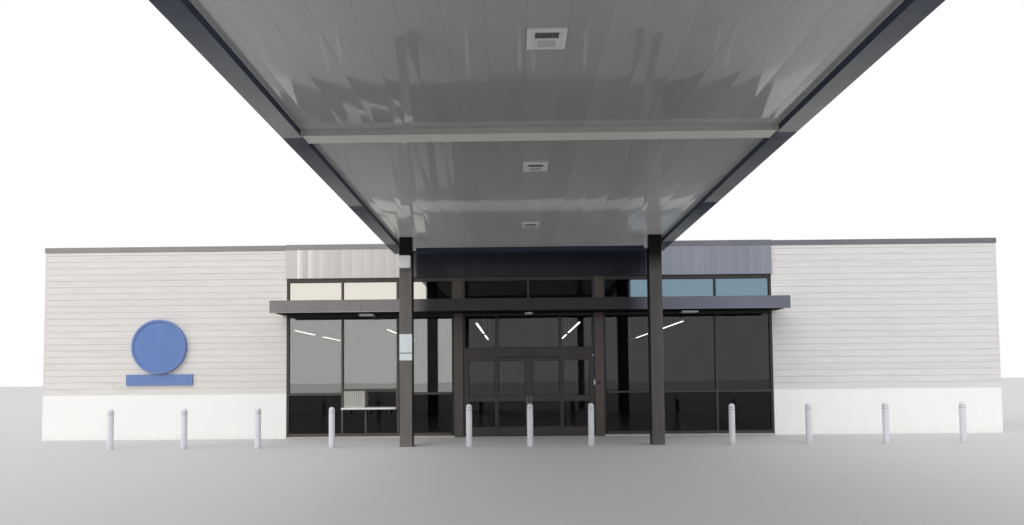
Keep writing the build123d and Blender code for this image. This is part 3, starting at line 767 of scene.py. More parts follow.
class Piece:
    """A mesh in the making. Everything added to it becomes one object."""

    def __init__(self, name: str, smooth: bool = False) -> None:
        """Start an empty piece.

        Args:
            name: the object's name.
            smooth: whether its shallow edges are shaded as curves.
        """
        self.name = name
        self.smooth = smooth
        self.points: list[Vector] = []
        self.faces: list[list[int]] = []
        self.tones: list[float] = []

    def loop_faces(self, rings: list[list[Vector]], closed: bool = False, tone: float = 0.5) -> None:
        """Skin rings of equal length.

        Args:
            rings: the rings in order, each a loop of points.
            closed: whether the last ring joins the first; otherwise both ends are capped.
            tone: the tone kept on the faces.
        """
        start, known = len(self.points), len(self.faces)
        count = len(rings[0])
        for ring in rings:
            self.points.extend(ring)
        for i in range(len(rings) if closed else len(rings) - 1):
            a = start + i * count
            b = start + ((i + 1) % len(rings)) * count
            for j in range(count):
                k = (j + 1) % count
                self.faces.append([a + j, a + k, b + k, b + j])
        if not closed:
            last = start + (len(rings) - 1) * count
            self.faces.append([start + j for j in reversed(range(count))])
            self.faces.append([last + j for j in range(count)])
        self.tones.extend([tone] * (len(self.faces) - known))

    def board(self, corner: Vector, facing: Facing, width: float, height: float, depth: float,
              chamfer: float = 0.0, tone: float = 0.5) -> None:
        """A flat board on a face, with its front edges eased.

        Args:
            corner: its lower left back corner, seen from outside.
            facing: the side that it looks to.
            width: its length across.
            height: its height.
            depth: how far it stands out.
            chamfer: how much its front edges are eased.
            tone: its own tone, from 0 to 1.
        """
        across, up, out = facing.across, facing.up, facing.out
        rings = []
        for inset, stand in [(0.0, 0.0), (0.0, depth - chamfer)] + [(chamfer, depth)] * bool(chamfer):
            right, head = width - inset, height - inset
            places = ((inset, inset), (right, inset), (right, head), (inset, head))
            rings.append([corner + across * x + up * z + out * stand for x, z in places])
        self.loop_faces(rings, tone=tone)

    def case(self, block: Block, facing: Facing, corner: float, edge: float) -> None:
        """A moulded case with round corners and a rounded outer edge.

        Args:
            block: the box that it fills.
            facing: the side that it looks to.
            corner: the radius of its corners, seen from outside.
            edge: the radius of its outer edge.
        """
        across, up, out = facing.across, facing.up, facing.out
        half_width, half_height, depth = (abs(block.size.dot(way)) for way in (across / 2, up / 2, out))
        quarter_points, edge_steps = 7, 4
        levels = [(0.0, 0.0)]
        for step in range(edge_steps + 1):
            turn = math.pi / 2 * step / edge_steps
            levels.append((edge * (1 - math.cos(turn)), depth - edge * (1 - math.sin(turn))))
        rings = []
        for inset, stand in levels:
            radius = max(corner - inset, 0.001)
            ring = []
            for quarter, (side, rise) in enumerate(((1, 1), (-1, 1), (-1, -1), (1, -1))):
                for step in range(quarter_points):
                    turn = math.pi / 2 * (quarter + step / (quarter_points - 1))
                    x = side * (half_width - inset - radius) + radius * math.cos(turn)
                    z = rise * (half_height - inset - radius) + radius * math.sin(turn)
                    ring.append(block.centre + across * x + up * z + out * (stand - depth / 2))
            rings.append(ring)
        self.loop_faces(rings)

    def lathe(self, centre: Vector, facing: Facing, profile: Outline, sides: int = 48,
              closed: bool = False) -> None:
        """Turn a profile about an axis.

        Args:
            centre: a point on the axis.
            facing: the axis runs along its outward direction.
            profile: (radius, distance along the axis) points.
            sides: how many facets go round.
            closed: whether the profile is a loop, as a ring's section is.
        """
        turns = [2 * math.pi * i / sides for i in range(sides)]
        ways = [facing.across * math.cos(turn) + facing.up * math.sin(turn) for turn in turns]
        rings = [[centre + facing.out * along + way * radius for way in ways] for radius, along in profile]
        self.loop_faces(rings, closed)

    def run(self, section: Outline, start: Vector, facing: Facing, length: float) -> None:
        """Pull a section along a face's left-to-right direction.

        Args:
            section: (outward, upward) points.
            start: where the section's zero is at the left end.
            facing: the side that it looks to.
            length: how long it is.
        """
        near = [start + facing.out * stand + facing.up * rise for stand, rise in section]
        self.loop_faces([near, [point + facing.across * length for point in near]])

    def frame(self, outer: Block, face: float, reach: float, width: float) -> None:
        """Four strips inside a rectangle that looks to the front.

        Args:
            outer: the rectangle, by its X and Z.
            face: the Y of its back.
            reach: how far it stands to the front.
            width: the strips' width.
        """
        low, high, size = outer.low, outer.high, outer.size
        for x, z, across, up in (
            (low.x, low.z, size.x, width), (low.x, high.z - width, size.x, width),
            (low.x, low.z + width, width, size.z - 2 * width),
            (high.x - width, low.z + width, width, size.z - 2 * width),
        ):
            self.board(Vector((x, face, z)), Facing.FRONT, across, up, reach, min(width, reach) / 4)

    def press_round(self, node: str) -> None:
        """A gasket round each pane of a node."""
        for pane in solids_of(node):
            self.frame(pane, pane.low.y, GASKET_PROUD, GASKET)

    def make(self, finish: Finish, slot: str, body: str = "building") -> bpy.types.Object:
        """Make the object, dress it and let it ride.

        Args:
            finish: its finish.
            slot: the record's material slot, not used.
            body: the body that it rides on.

        Returns:
            The object.
        """
        mesh = bpy.data.meshes.new(self.name)
        mesh.from_pydata([tuple(point) for point in self.points], [], self.faces)
        mesh.attributes.new("tone", "FLOAT", "FACE").data.foreach_set("value", self.tones)
        turned = bmesh.new()
        turned.from_mesh(mesh)
        bmesh.ops.recalc_face_normals(turned, faces=turned.faces)
        turned.to_mesh(mesh)
        turned.free()
        if self.smooth:
            mesh.polygons.foreach_set("use_smooth", [True] * len(mesh.polygons))
            mesh.set_sharp_from_angle(angle=math.radians(40))
        mesh.materials.append(finish.material())
        made = linked(self.name, mesh)
        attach(made, body)
        log.info("%s: %d faces on %s", self.name, len(self.faces), body)
        return made


def dress(node: str, *finishes: Finish, choose: Choice = lambda centre, normal: 0) -> None:
    """Give a CAD node its finishes.

    Args:
        node: the node's name.
        finishes: one finish, or several to choose from.
        choose: gives the finish's number from a face's middle and its normal.
    """
    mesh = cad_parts[node].data
    mesh.materials.clear()
    for finish in finishes:
        mesh.materials.append(finish.material())
    for face in mesh.polygons:
        face.material_index = choose(face.center, face.normal)
    log.info("%s: %s", node, ", ".join(finish.name for finish in finishes))


def underside(centre: Vector, normal: Vector) -> int:
    """The second finish for what looks down, the first for the rest."""
    return int(Facing.DOWN.seen(normal))


def low_pane(centre: Vector, normal: Vector) -> int:
    """The second finish for the low panes of the entrance, the first for the rest."""
    return int(centre.z < LOW_PANES)


PLANK = CladPlank("cladding_plank", (0.82, 0.78, 0.745), 0.75, right=(0.775, 0.76, 0.75))
# The wall behind the planks, darker as painted shade in their joints
PLANK_SHADOW = Paint("cladding_backing", (0.42, 0.40, 0.37), 0.8)
BASE = BaseCourse("white_base_course", (0.99, 0.985, 0.965), 0.6, right=(0.97, 0.968, 0.95))
COPING = Paint("coping_metal", (0.29, 0.275, 0.272), 0.42, right=(0.165, 0.163, 0.19), drift=0.06)
# Near black: dark paint and painted shade under the eyebrow, also used for the lintel beams
SHADED_SOFFIT = Paint("eyebrow_underside", (0.008, 0.008, 0.009), 0.6, gloss=0.05)
BRONZE = Paint("bronze_frame", (0.085, 0.070, 0.062), 0.4, drift=0.07, coat=0.15)
BRONZE_STRIP = replace(BRONZE, name="bronze_clerestory", right=(0.036, 0.033, 0.035))
BRONZE_FRAME = FrameCoat("bronze_shopfront", BRONZE.colour, 0.4, right=(0.045, 0.040, 0.040), drift=0.07,
                         coat=0.15)
BRONZE_DOOR = FrameCoat("bronze_door", (0.044, 0.036, 0.031), 0.4, drift=0.07, coat=0.1, flank=(1.79, 1.83))
# Painted shade: a darker copy of the bronze for the sides and undersides of frames and leaves, and for the
# lines at the header's cover
BRONZE_SHADED = Paint("bronze_painted_shade", (0.022, 0.019, 0.018), 0.5, gloss=0.2)
JOINT_LINE = Paint("joint_sealant", (0.05, 0.047, 0.045), 0.7)
RUBBER = Moulded("black_gasket", (0.010, 0.010, 0.010), 0.6, gloss=0.15)
INNER = InnerWall("inner_wall", (0.10, 0.105, 0.10), 0.8)
FELT = Membrane("roof_membrane", (0.62, 0.62, 0.60), 0.75)
CEILING = Paint("dark_ceiling", (0.02, 0.021, 0.022), 0.85)
TILE = FloorTile("shop_floor_tile", (0.30, 0.29, 0.27), 0.25)
CONCRETE = Grit("curb_concrete", (0.60, 0.575, 0.54), 0.85)
THRESHOLD = Brushed("threshold_metal", (0.55, 0.55, 0.55), 0.35)
SATIN_STEEL = Brushed("satin_steel", (0.62, 0.62, 0.61), 0.3)
SHUTTER = Paint("ribbed_metal", (0.56, 0.56, 0.51), 0.38, metallic=0.3)
# Painted shade: a darker copy of the ribbed metal for the faces in its grooves
SHUTTER_GROOVE_SHADE = Paint("ribbed_metal_groove_shade", (0.36, 0.36, 0.325), 0.5)
COUNTER = Moulded("white_counter", (0.97, 0.96, 0.93), 0.3, coat=0.3)
WHITE_CASE = Moulded("white_housing", (0.95, 0.94, 0.91), 0.4, coat=0.2)
GREY_CASE = Moulded("grey_housing", (0.30, 0.30, 0.30), 0.4)
TRAY = Moulded("lamp_tray", (0.62, 0.63, 0.64), 0.4, coat=0.2)
BLACK_CASE = Moulded("black_housing", (0.018, 0.018, 0.02), 0.3, coat=0.5)
RED_CASE = Moulded("red_housing", (0.42, 0.03, 0.025), 0.35, coat=0.4)
SENSOR_WINDOW = Glazing("sensor_window", (0.01, 0.01, 0.012), 0.05, clear=0.0)
LINE_GLOW = Glow("line_light", (1.0, 0.98, 0.94), 0.4, power=5.0)
LAMP_LENS = Glazing("lamp_lens", (0.42, 0.44, 0.44), 0.12, clear=0.0, wave=0.0008)
EYEBROW_LENS = Moulded("eyebrow_lens", (0.62, 0.63, 0.60), 0.35, coat=0.4)
# Mid grey where the real enamel is paler: painted shade under the canopy
SHADED_PANS = PanEnamel("pan_enamel", (0.30, 0.302, 0.30), 0.03)
# Painted light: pale seam faces that lift the shade inside the seams
PAN_SEAM_LIFTED = Paint("pan_seam", (0.60, 0.60, 0.59), 0.4, drift=0.05)
COLUMN = ShadedColumn("column_paint", (0.180, 0.165, 0.153), 0.45, gloss=0.15, right=(0.13, 0.122, 0.118))
# Painted shade: a near-black copy of the column paint for the faces that look to the entrance's middle
COLUMN_SHADED_SIDE = replace(COLUMN, name="column_side_painted_shade", colour=(0.03, 0.028, 0.027), right=None)
TRIM = Paint("pan_edge_trim", (0.42, 0.42, 0.42), 0.3, drift=0.04, coat=0.2)
# The trough's enamel: the underside lighter, the sides a darker copy, as painted light and shade
TROUGH = Paint("trough_enamel", (0.56, 0.56, 0.515), 0.45, drift=0.02)
TROUGH_SHADED_SIDE = Paint("trough_side_painted_shade", (0.40, 0.40, 0.385), 0.35, drift=0.05)
GALVANISED = Paint("galvanised_steel", (0.42, 0.43, 0.43), 0.5, metallic=0.8, drift=0.12)
NAVY = FasciaCoat("navy_fascia", (0.020, 0.030, 0.054), 0.42, gloss=0.3, drift=0.06)
NAVY_PLAIN = Paint("navy_fascia_end", (0.016, 0.026, 0.055), 0.4, gloss=0.35, drift=0.06)
EYEBROW_TOP = Paint("eyebrow_top", (0.80, 0.78, 0.75), 0.6, drift=0.05)
PLATE = Paint("bare_plate", (0.82, 0.87, 0.90), 0.35, drift=0.03, coat=0.2)
SLEEVE = Moulded("bollard_sleeve", (0.80, 0.81, 0.86), 0.45, scuff=0.15)
# Painted shade: dark rings that stand for the shade in the sleeves' grooves
SLEEVE_GROOVE_SHADE = Moulded("bollard_ring", (0.46, 0.46, 0.49), 0.5)
SIGN_FACE = Paint("sign_face", (0.115, 0.215, 0.50), 0.35, drift=0.04, coat=0.3)
SIGN_RIM = Paint("sign_rim", (0.15, 0.24, 0.50), 0.4, drift=0.04)
SHOP_GLASS = Glazing("shop_glass", (0.62, 0.67, 0.65), 0.0, index=1.44)
# Painted reflection: the shopfront's upper left panes mirror more, for the brighter sky
SKY_GLASS = Glazing("sky_glass", (0.80, 0.82, 0.79), 0.0, index=1.7, metallic=0.2)
# Painted reflection: the low panes are tinted darker and mirror less
LOWER_GLASS = Glazing("lower_glass", (0.42, 0.46, 0.46), 0.0, index=1.29)
# Painted reflection: a pale cream mirror coat for the bright sky, turning to blue sky at the right and dark in
# the middle
STRIP_GLASS = Glazing("clerestory_glass", (0.84, 0.80, 0.715), 0.015, right=(0.20, 0.30, 0.37), metallic=0.85,
                      clear=0.2, dark=2.84)
EYEBROW = CanopyShadedPaint("eyebrow_metal", (0.23, 0.215, 0.212), 0.42, right=(0.15, 0.165, 0.21),
                       canopy_shaded=(0.040, 0.036, 0.036), half=2.9)
# Painted highlight: a paler copy of the eyebrow's metal for its rounded drip edge, with the same painted shade
# under the canopy
DRIP_HIGHLIGHT = CanopyShadedPaint("eyebrow_drip", (0.34, 0.325, 0.32), 0.35, right=(0.18, 0.195, 0.24),
                    canopy_shaded=(0.03, 0.028, 0.028), half=3.0)


@dataclass
class StoreShell:
    """Walls, copings, roof and floor: planks over the walls, trims at their corners."""

    course: float = 0.177  # The height from one plank to the next
    gap: float = 0.007  # The open joint between planks
    board: float = 0.007  # How far a plank stands off the wall
    uneven: float = 0.0015  # How much less than that a plank may stand off
    chamfer: float = 0.003  # How much a plank's edges are eased
    butt: float = 0.001  # The gap where two planks meet end to end
    shortest: float = 3.2  # The shortest plank
    longest: float = 6.1  # The longest plank
    offcut: float = 0.05  # A plank cut shorter than this is left off
    trim: float = 0.04  # The width of a corner trim
    trim_proud: float = 0.002  # How much further than the planks a trim stands off
    corner_cover: float = 0.3  # The width of the white cover at a corner
    skin: float = 0.1  # How deep into a wall its outer faces reach
    front_depth: float = 0.29  # How far behind the shop front's face the front walls' inner side starts
    joint_pitch: float = 3.048  # From one joint of the copings to the next
    # Where the row of joints starts, past the front coping's left end, from the entrance's middle
    first_joint: float = -14.12
    joint_clear: float = 0.3  # How far from a coping's end a joint stays
    cover: float = 0.1  # The width of the cover over a joint
    lap: float = 0.0018  # How far a cover stands off the coping
    rim: float = 0.06  # The width of the sign's rim
    recess: float = 0.02  # How deep the sign's face lies
    # The section of the ring inside the rim, as distances inwards and outwards
    bead: Outline = ((0.0, 0.0), (0.0, 0.006), (0.008, 0.009), (0.016, 0.004), (0.016, 0.0))

    def lay(self, name: str, corner: Vector, facing: Facing, width: float, top: float, seed: int) -> None:
        """Cover one wall face with planks in broken bond.

        Args:
            name: the piece's name.
            corner: the face's lower left corner, at the top of the base course.
            facing: the side that it looks to.
            width: its width.
            top: the height of its upper edge.
            seed: what fixes the lengths and tones.
        """
        chance = random.Random(seed)
        piece = Piece(name)
        height = corner.z
        while height < top - self.gap:
            rise = min(self.course, top - height) - self.gap
            along = -chance.uniform(0.0, self.longest)
            while along < width:
                length = chance.uniform(self.shortest, self.longest)
                left, right = max(along, 0.0), min(along + length - self.butt, width)
                tone, stand = chance.random(), self.board - chance.uniform(0.0, self.uneven)
                if right - left > self.offcut:
                    start = corner + facing.across * left + Vector((0.0, 0.0, height - corner.z))
                    piece.board(start, facing, right - left, rise, stand, self.chamfer, tone)
                along += length
            height += self.course
        piece.make(PLANK, "wall_cladding")

    def boards(self) -> None:
        """Lay the planks on the two wings, the sides and the rear, and trim their corners."""
        left, right = solids_of("front_walls")
        proud = left.low.x - solids_of("side_walls")[0].low.x
        low = Vector((left.low.x, FACADE, course_top()))
        high = Vector((right.high.x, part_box("rear_wall")[1].y - proud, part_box("coping_front")[0].z))
        depth, across = high.y - low.y - 2 * self.trim, high.x - low.x - 2 * self.trim
        for name, x, y, facing, width, seed in (
            ("planks_wing_left", low.x + self.trim, low.y, Facing.FRONT, left.size.x - self.trim, 11),
            ("planks_wing_right", right.low.x, low.y, Facing.FRONT, right.size.x - self.trim, 12),
            ("planks_side_left", low.x, high.y - self.trim, Facing.LEFT, depth, 21),
            ("planks_side_right", high.x, low.y + self.trim, Facing.RIGHT, depth, 22),
            ("planks_rear", high.x - self.trim, high.y, Facing.REAR, across, 23),
        ):
            self.lay(name, Vector((x, y, low.z)), facing, width, high.z, seed)
        self.corners(Block(low, high), proud)

    def corners(self, walls: Block, proud: float) -> None:
        """Fit folded trims to the four corners, and white covers where the base course turns them.

        Args:
            walls: the planked box, from the top of the base course to the underside of the coping.
            proud: how far the base course stands out.
        """
        trims, covers = Piece("corner_trims"), Piece("base_corner_covers")
        low, high = walls.low, walls.high
        for x, side in ((low.x, Facing.LEFT), (high.x, Facing.RIGHT)):
            for y, end in ((low.y, Facing.FRONT), (high.y, Facing.REAR)):
                toward = Vector((walls.centre.x - x, walls.centre.y - y, 0.0))
                for facing in (side, end):
                    back = 0.0 if facing.across.dot(toward) > 0 else -1.0
                    start = Vector((x, y, low.z)) + facing.across * back * self.trim
                    trims.board(start, facing, self.trim, walls.size.z, self.board + self.trim_proud, 0.002)
                    if facing is side:
                        foot = Vector((x, y, 0.0)) + facing.across * back * self.corner_cover
                        covers.board(foot, facing, self.corner_cover, low.z, proud, 0.001)
        trims.make(PLANK, "wall_cladding")
        covers.make(BASE, "wall_cladding")

    def dress_walls(self) -> None:
        """Give the walls, copings, roof and floor their finishes."""
        foot = course_top() + 0.01
        low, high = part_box("side_walls")
        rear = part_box("rear_wall")[1].y

        def finish(inner: bool, outer: bool, centre: Vector) -> int:
            """Inner paint, base course or backing, for a face's sides and its middle."""
            return 2 if inner else int(outer and centre.z < foot)

        choices: dict[str, Choice] = {
            "front_walls": lambda centre, normal: finish(
                Facing.REAR.seen(normal) and centre.y > FACADE + self.front_depth,
                Facing.FRONT.seen(normal), centre),
            "side_walls": lambda centre, normal: finish(
                low.x + self.skin <= centre.x <= high.x - self.skin, True, centre),
            "rear_wall": lambda centre, normal: finish(
                Facing.FRONT.seen(normal) and centre.y < rear - self.skin, Facing.REAR.seen(normal), centre),
        }
        for node, choose in choices.items():
            dress(node, PLANK_SHADOW, BASE, INNER, choose=choose)
        for node in ("coping_front", "coping_sides", "coping_rear", "coping_bay"):
            dress(node, COPING)
        dress("roof_deck", FELT, CEILING, choose=underside)
        dress("floor_slab", TILE)

    def coping_joints(self) -> None:
        """Lap a cover over each joint of the front copings, down their faces and over their tops."""
        covers = Piece("coping_joint_covers")
        for node, shift in (("coping_front", 0.0), ("coping_bay", self.joint_pitch / 2)):
            for part in solids_of(node):
                section = [(0.0, 0.0), (0.0, self.lap), (-part.size.y, self.lap), (-part.size.y, 0.0)]
                x = MIDDLE - shift + self.first_joint
                while x < part.high.x - self.joint_clear:
                    if x > part.low.x + self.joint_clear:
                        start = Vector((x - self.cover / 2, part.low.y, part.low.z))
                        covers.board(start, Facing.FRONT, self.cover, part.size.z, self.lap, self.lap / 3)
                        covers.run(section, Vector((start.x, start.y, part.high.z)), Facing.FRONT, self.cover)
                    x += self.joint_pitch
        covers.make(COPING, "coping_metal")

    def sign(self) -> None:
        """Dress the blank round sign and its bar, with a bead inside the rim."""
        disc = max(solids_of("wall_sign"), key=lambda solid: solid.size.z)
        centre = Vector((disc.centre.x, disc.low.y, disc.centre.z))
        radius = disc.size.x / 2
        dress("wall_sign", SIGN_RIM, SIGN_FACE, choose=lambda place, normal: int(
            Facing.FRONT.seen(normal) and math.hypot(place.x - centre.x, place.z - centre.z) < radius * 0.9))
        bead = Piece("sign_bead", smooth=True)
        section = [(radius - self.rim - inwards, outwards) for inwards, outwards in self.bead]
        bead.lathe(centre + Vector((0, self.recess, 0)), Facing.FRONT, section, 96, closed=True)
        bead.make(SIGN_FACE, "sign_face")

    def build(self) -> None:
        """Build everything of the shell."""
        self.boards()
        self.dress_walls()
        self.coping_joints()
        self.sign()


@dataclass
class ShopFront:
    """The central bay: flush panels, clerestory, eyebrow, shopfronts and the service window."""

    slider: float = 0.45  # How far above the counter the slider's panes reach
    eyebrow_joint: float = 2.985  # From one joint of the eyebrow's face to the next
    first_joint: float = -4.42  # The first joint, from the entrance's middle
    joint: float = 0.006  # The width of a joint
    fold: float = 0.04  # How far below the eyebrow's top its joints end
    drip: float = 0.019  # The height of the drip edge under the eyebrow's face, paler than the face as a painted highlight
    light_cap: float = 0.045  # The width of the bright ends of the eyebrow's lights
    lens: float = 0.048  # The height of a light's lens
    base_inset: float = 0.03  # How far a light's base stands back from its lens
    base_round: Pair = (0.03, 0.01)  # The radii of a base's corners and of its edge
    lens_round: Pair = (0.05, 0.03)  # The radii of a lens's corners and of its edge
    cap_round: Pair = (0.022, 0.02)  # The radii of a bright end's corners and of its edge
    rib: float = 0.004  # How far behind the panel's front its grooves start
    sash: float = 0.03  # The width of the slider's sash
    sash_proud: float = 0.014  # How far the sash stands off its pane
    pull: Triple = (0.018, 0.12, 0.03)  # The width, height and depth of the slider's pull
    bracket: float = 0.02  # The width of a bracket under the counter
    # A bracket's side, as distances outwards and upwards
    bracket_section: Outline = ((0.0, 0.0), (0.0, -0.15), (0.02, -0.15), (0.19, -0.02), (0.19, 0.0))
    # Where the brackets are, as shares of the counter's length
    bracket_places: tuple[float, ...] = (0.12, 0.5, 0.88)

    def frames(self) -> None:
        """Dress the posts, beams, curbs and frames, and paint shade on what looks sideways or down on a frame.
        """
        for node, face in (("shopfront_frames", BRONZE_FRAME), ("clerestory_frames", BRONZE_STRIP),
                           ("transom_frame", BRONZE_DOOR), ("sidelite_frames", BRONZE_DOOR)):
            dress(node, face, BRONZE_SHADED,
                  choose=lambda centre, normal: int(abs(normal.x) > 0.5 or Facing.DOWN.seen(normal)))
        dress("entrance_posts", BRONZE)
        # Painted shade: the lintel beams take the near-black underside colour
        dress("lintel_beams", SHADED_SOFFIT)
        dress("shopfront_curbs", CONCRETE)

    def glass(self) -> None:
        """Press a gasket round every pane, and dress the dark lower panes, the left ones and the rest."""
        gaskets = Piece("glazing_gaskets")
        for node in ("shopfront_glass", "clerestory_glass", "transom_glass", "sidelite_glass"):
            gaskets.press_round(node)
        gaskets.make(RUBBER, "bronze_frame")
        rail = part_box("service_shelf")[1].z + 0.4
        # Painted reflection: the upper left panes take the brighter-mirroring glass
        dress("shopfront_glass", SHOP_GLASS, LOWER_GLASS, SKY_GLASS,
              choose=lambda centre, normal: 1 if centre.z < rail else 2 * int(centre.x < MIDDLE))
        dress("transom_glass", SHOP_GLASS)
        dress("sidelite_glass", SHOP_GLASS, LOWER_GLASS, choose=low_pane)
        dress("clerestory_glass", STRIP_GLASS)

    def bay(self) -> None:
        """Dress the flush panels over the clerestory, and the inner paint behind them."""
        panels = FlushPanel("bay_panels", (0.55, 0.532, 0.52), 0.3, right=(0.255, 0.272, 0.325),
                            start=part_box("bay_wall")[0].x)
        dress("bay_wall", panels, INNER, choose=lambda centre, normal: int(Facing.REAR.seen(normal)))

    def eyebrow(self) -> None:
        """Dress the eyebrow's face, underside and pale top, fold a drip edge under its face and joint it."""
        eyebrow = block_of("eyebrow")
        low, high = eyebrow.low, eyebrow.high
        dress("eyebrow", EYEBROW, SHADED_SOFFIT, EYEBROW_TOP,
              choose=lambda centre, normal: 1 if Facing.DOWN.seen(normal) else 2 * int(normal.z > 0.5))
        drip, joints = Piece("eyebrow_drip"), Piece("eyebrow_joints")
        section = [(0.0, 0.0), (0.004, 0.002), (0.009, self.drip * 0.5), (0.004, self.drip), (0.0, self.drip)]
        drip.run(section, low, Facing.FRONT, high.x - low.x)
        drip.make(DRIP_HIGHLIGHT, "coping_metal")
        place = (low.x + high.x) / 2 + self.first_joint
        while place < high.x:
            corner = Vector((place - self.joint / 2, low.y, low.z + self.drip))
            joints.board(corner, Facing.FRONT, self.joint, eyebrow.size.z - self.drip - self.fold, 0.0012)
            place += self.eyebrow_joint
        joints.make(JOINT_LINE, "coping_metal")

    def lights(self) -> None:
        """Make each light a dark base with a flat rounded lens under it, held between two bright ends."""
        words = ("light_bases", "lenses", "light_ends")
        bases, lenses, ends = (Piece(f"eyebrow_{word}", smooth=True) for word in words)
        inset = Vector((self.base_inset, self.base_inset, 0.0))
        held, back = self.light_cap * 0.7, 0.02
        for light in solids_of("eyebrow_lights"):
            low, high = light.low, light.high
            rim = low.z + self.lens
            base = Block(Vector((low.x, low.y, rim)) + inset, high - inset)
            bases.case(base, Facing.DOWN, *self.base_round)
            lens = Block(low + Vector((held, 0.0, 0.006)), Vector((high.x - held, high.y, rim)))
            lenses.case(lens, Facing.DOWN, *self.lens_round)
            for x in (low.x, high.x - self.light_cap):
                far = Vector((x + self.light_cap, high.y - back, rim))
                ends.case(Block(Vector((x, low.y + back, low.z)), far), Facing.DOWN, *self.cap_round)
        made = bases.make(RUBBER, "light_housing")
        lenses.make(EYEBROW_LENS, "light_housing")
        ends.make(SATIN_STEEL, "light_housing")
        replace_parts(made, "eyebrow_lights")

    def service_window(self) -> None:
        """Dress the ribbed panel with painted shade in its grooves and the counter, and fit the slider's sash
        and the counter's brackets.
        """
        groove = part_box("service_panel")[0].y + self.rib
        dress("service_panel", SHUTTER, SHUTTER_GROOVE_SHADE, choose=lambda centre, normal: int(centre.y > groove))
        dress("service_shelf", COUNTER)
        shelf = block_of("service_shelf")
        sash, brackets = Piece("slider_sash"), Piece("shelf_brackets")
        width, height, depth = self.pull
        for pane in solids_of("shopfront_glass"):
            above = 0 < pane.centre.z - shelf.high.z < self.slider
            if above and shelf.low.x < pane.centre.x < shelf.high.x:
                sash.frame(pane, pane.low.y, self.sash_proud, self.sash)
                corner = Vector((pane.low.x + self.sash + 0.005, pane.low.y, pane.centre.z - height / 2))
                sash.board(corner, Facing.FRONT, width, height, depth, 0.004)
        sash.make(BRONZE, "bronze_frame")
        for share in self.bracket_places:
            x = shelf.low.x + shelf.size.x * share - self.bracket / 2
            start = Vector((x, shelf.high.y, shelf.low.z))
            brackets.run(self.bracket_section, start, Facing.FRONT, self.bracket)
        brackets.make(BRONZE, "bronze_frame")

    def build(self) -> None:
        """Build everything of the central bay."""
        self.frames()
        self.glass()
        self.bay()
        self.eyebrow()
        self.lights()
        self.service_window()


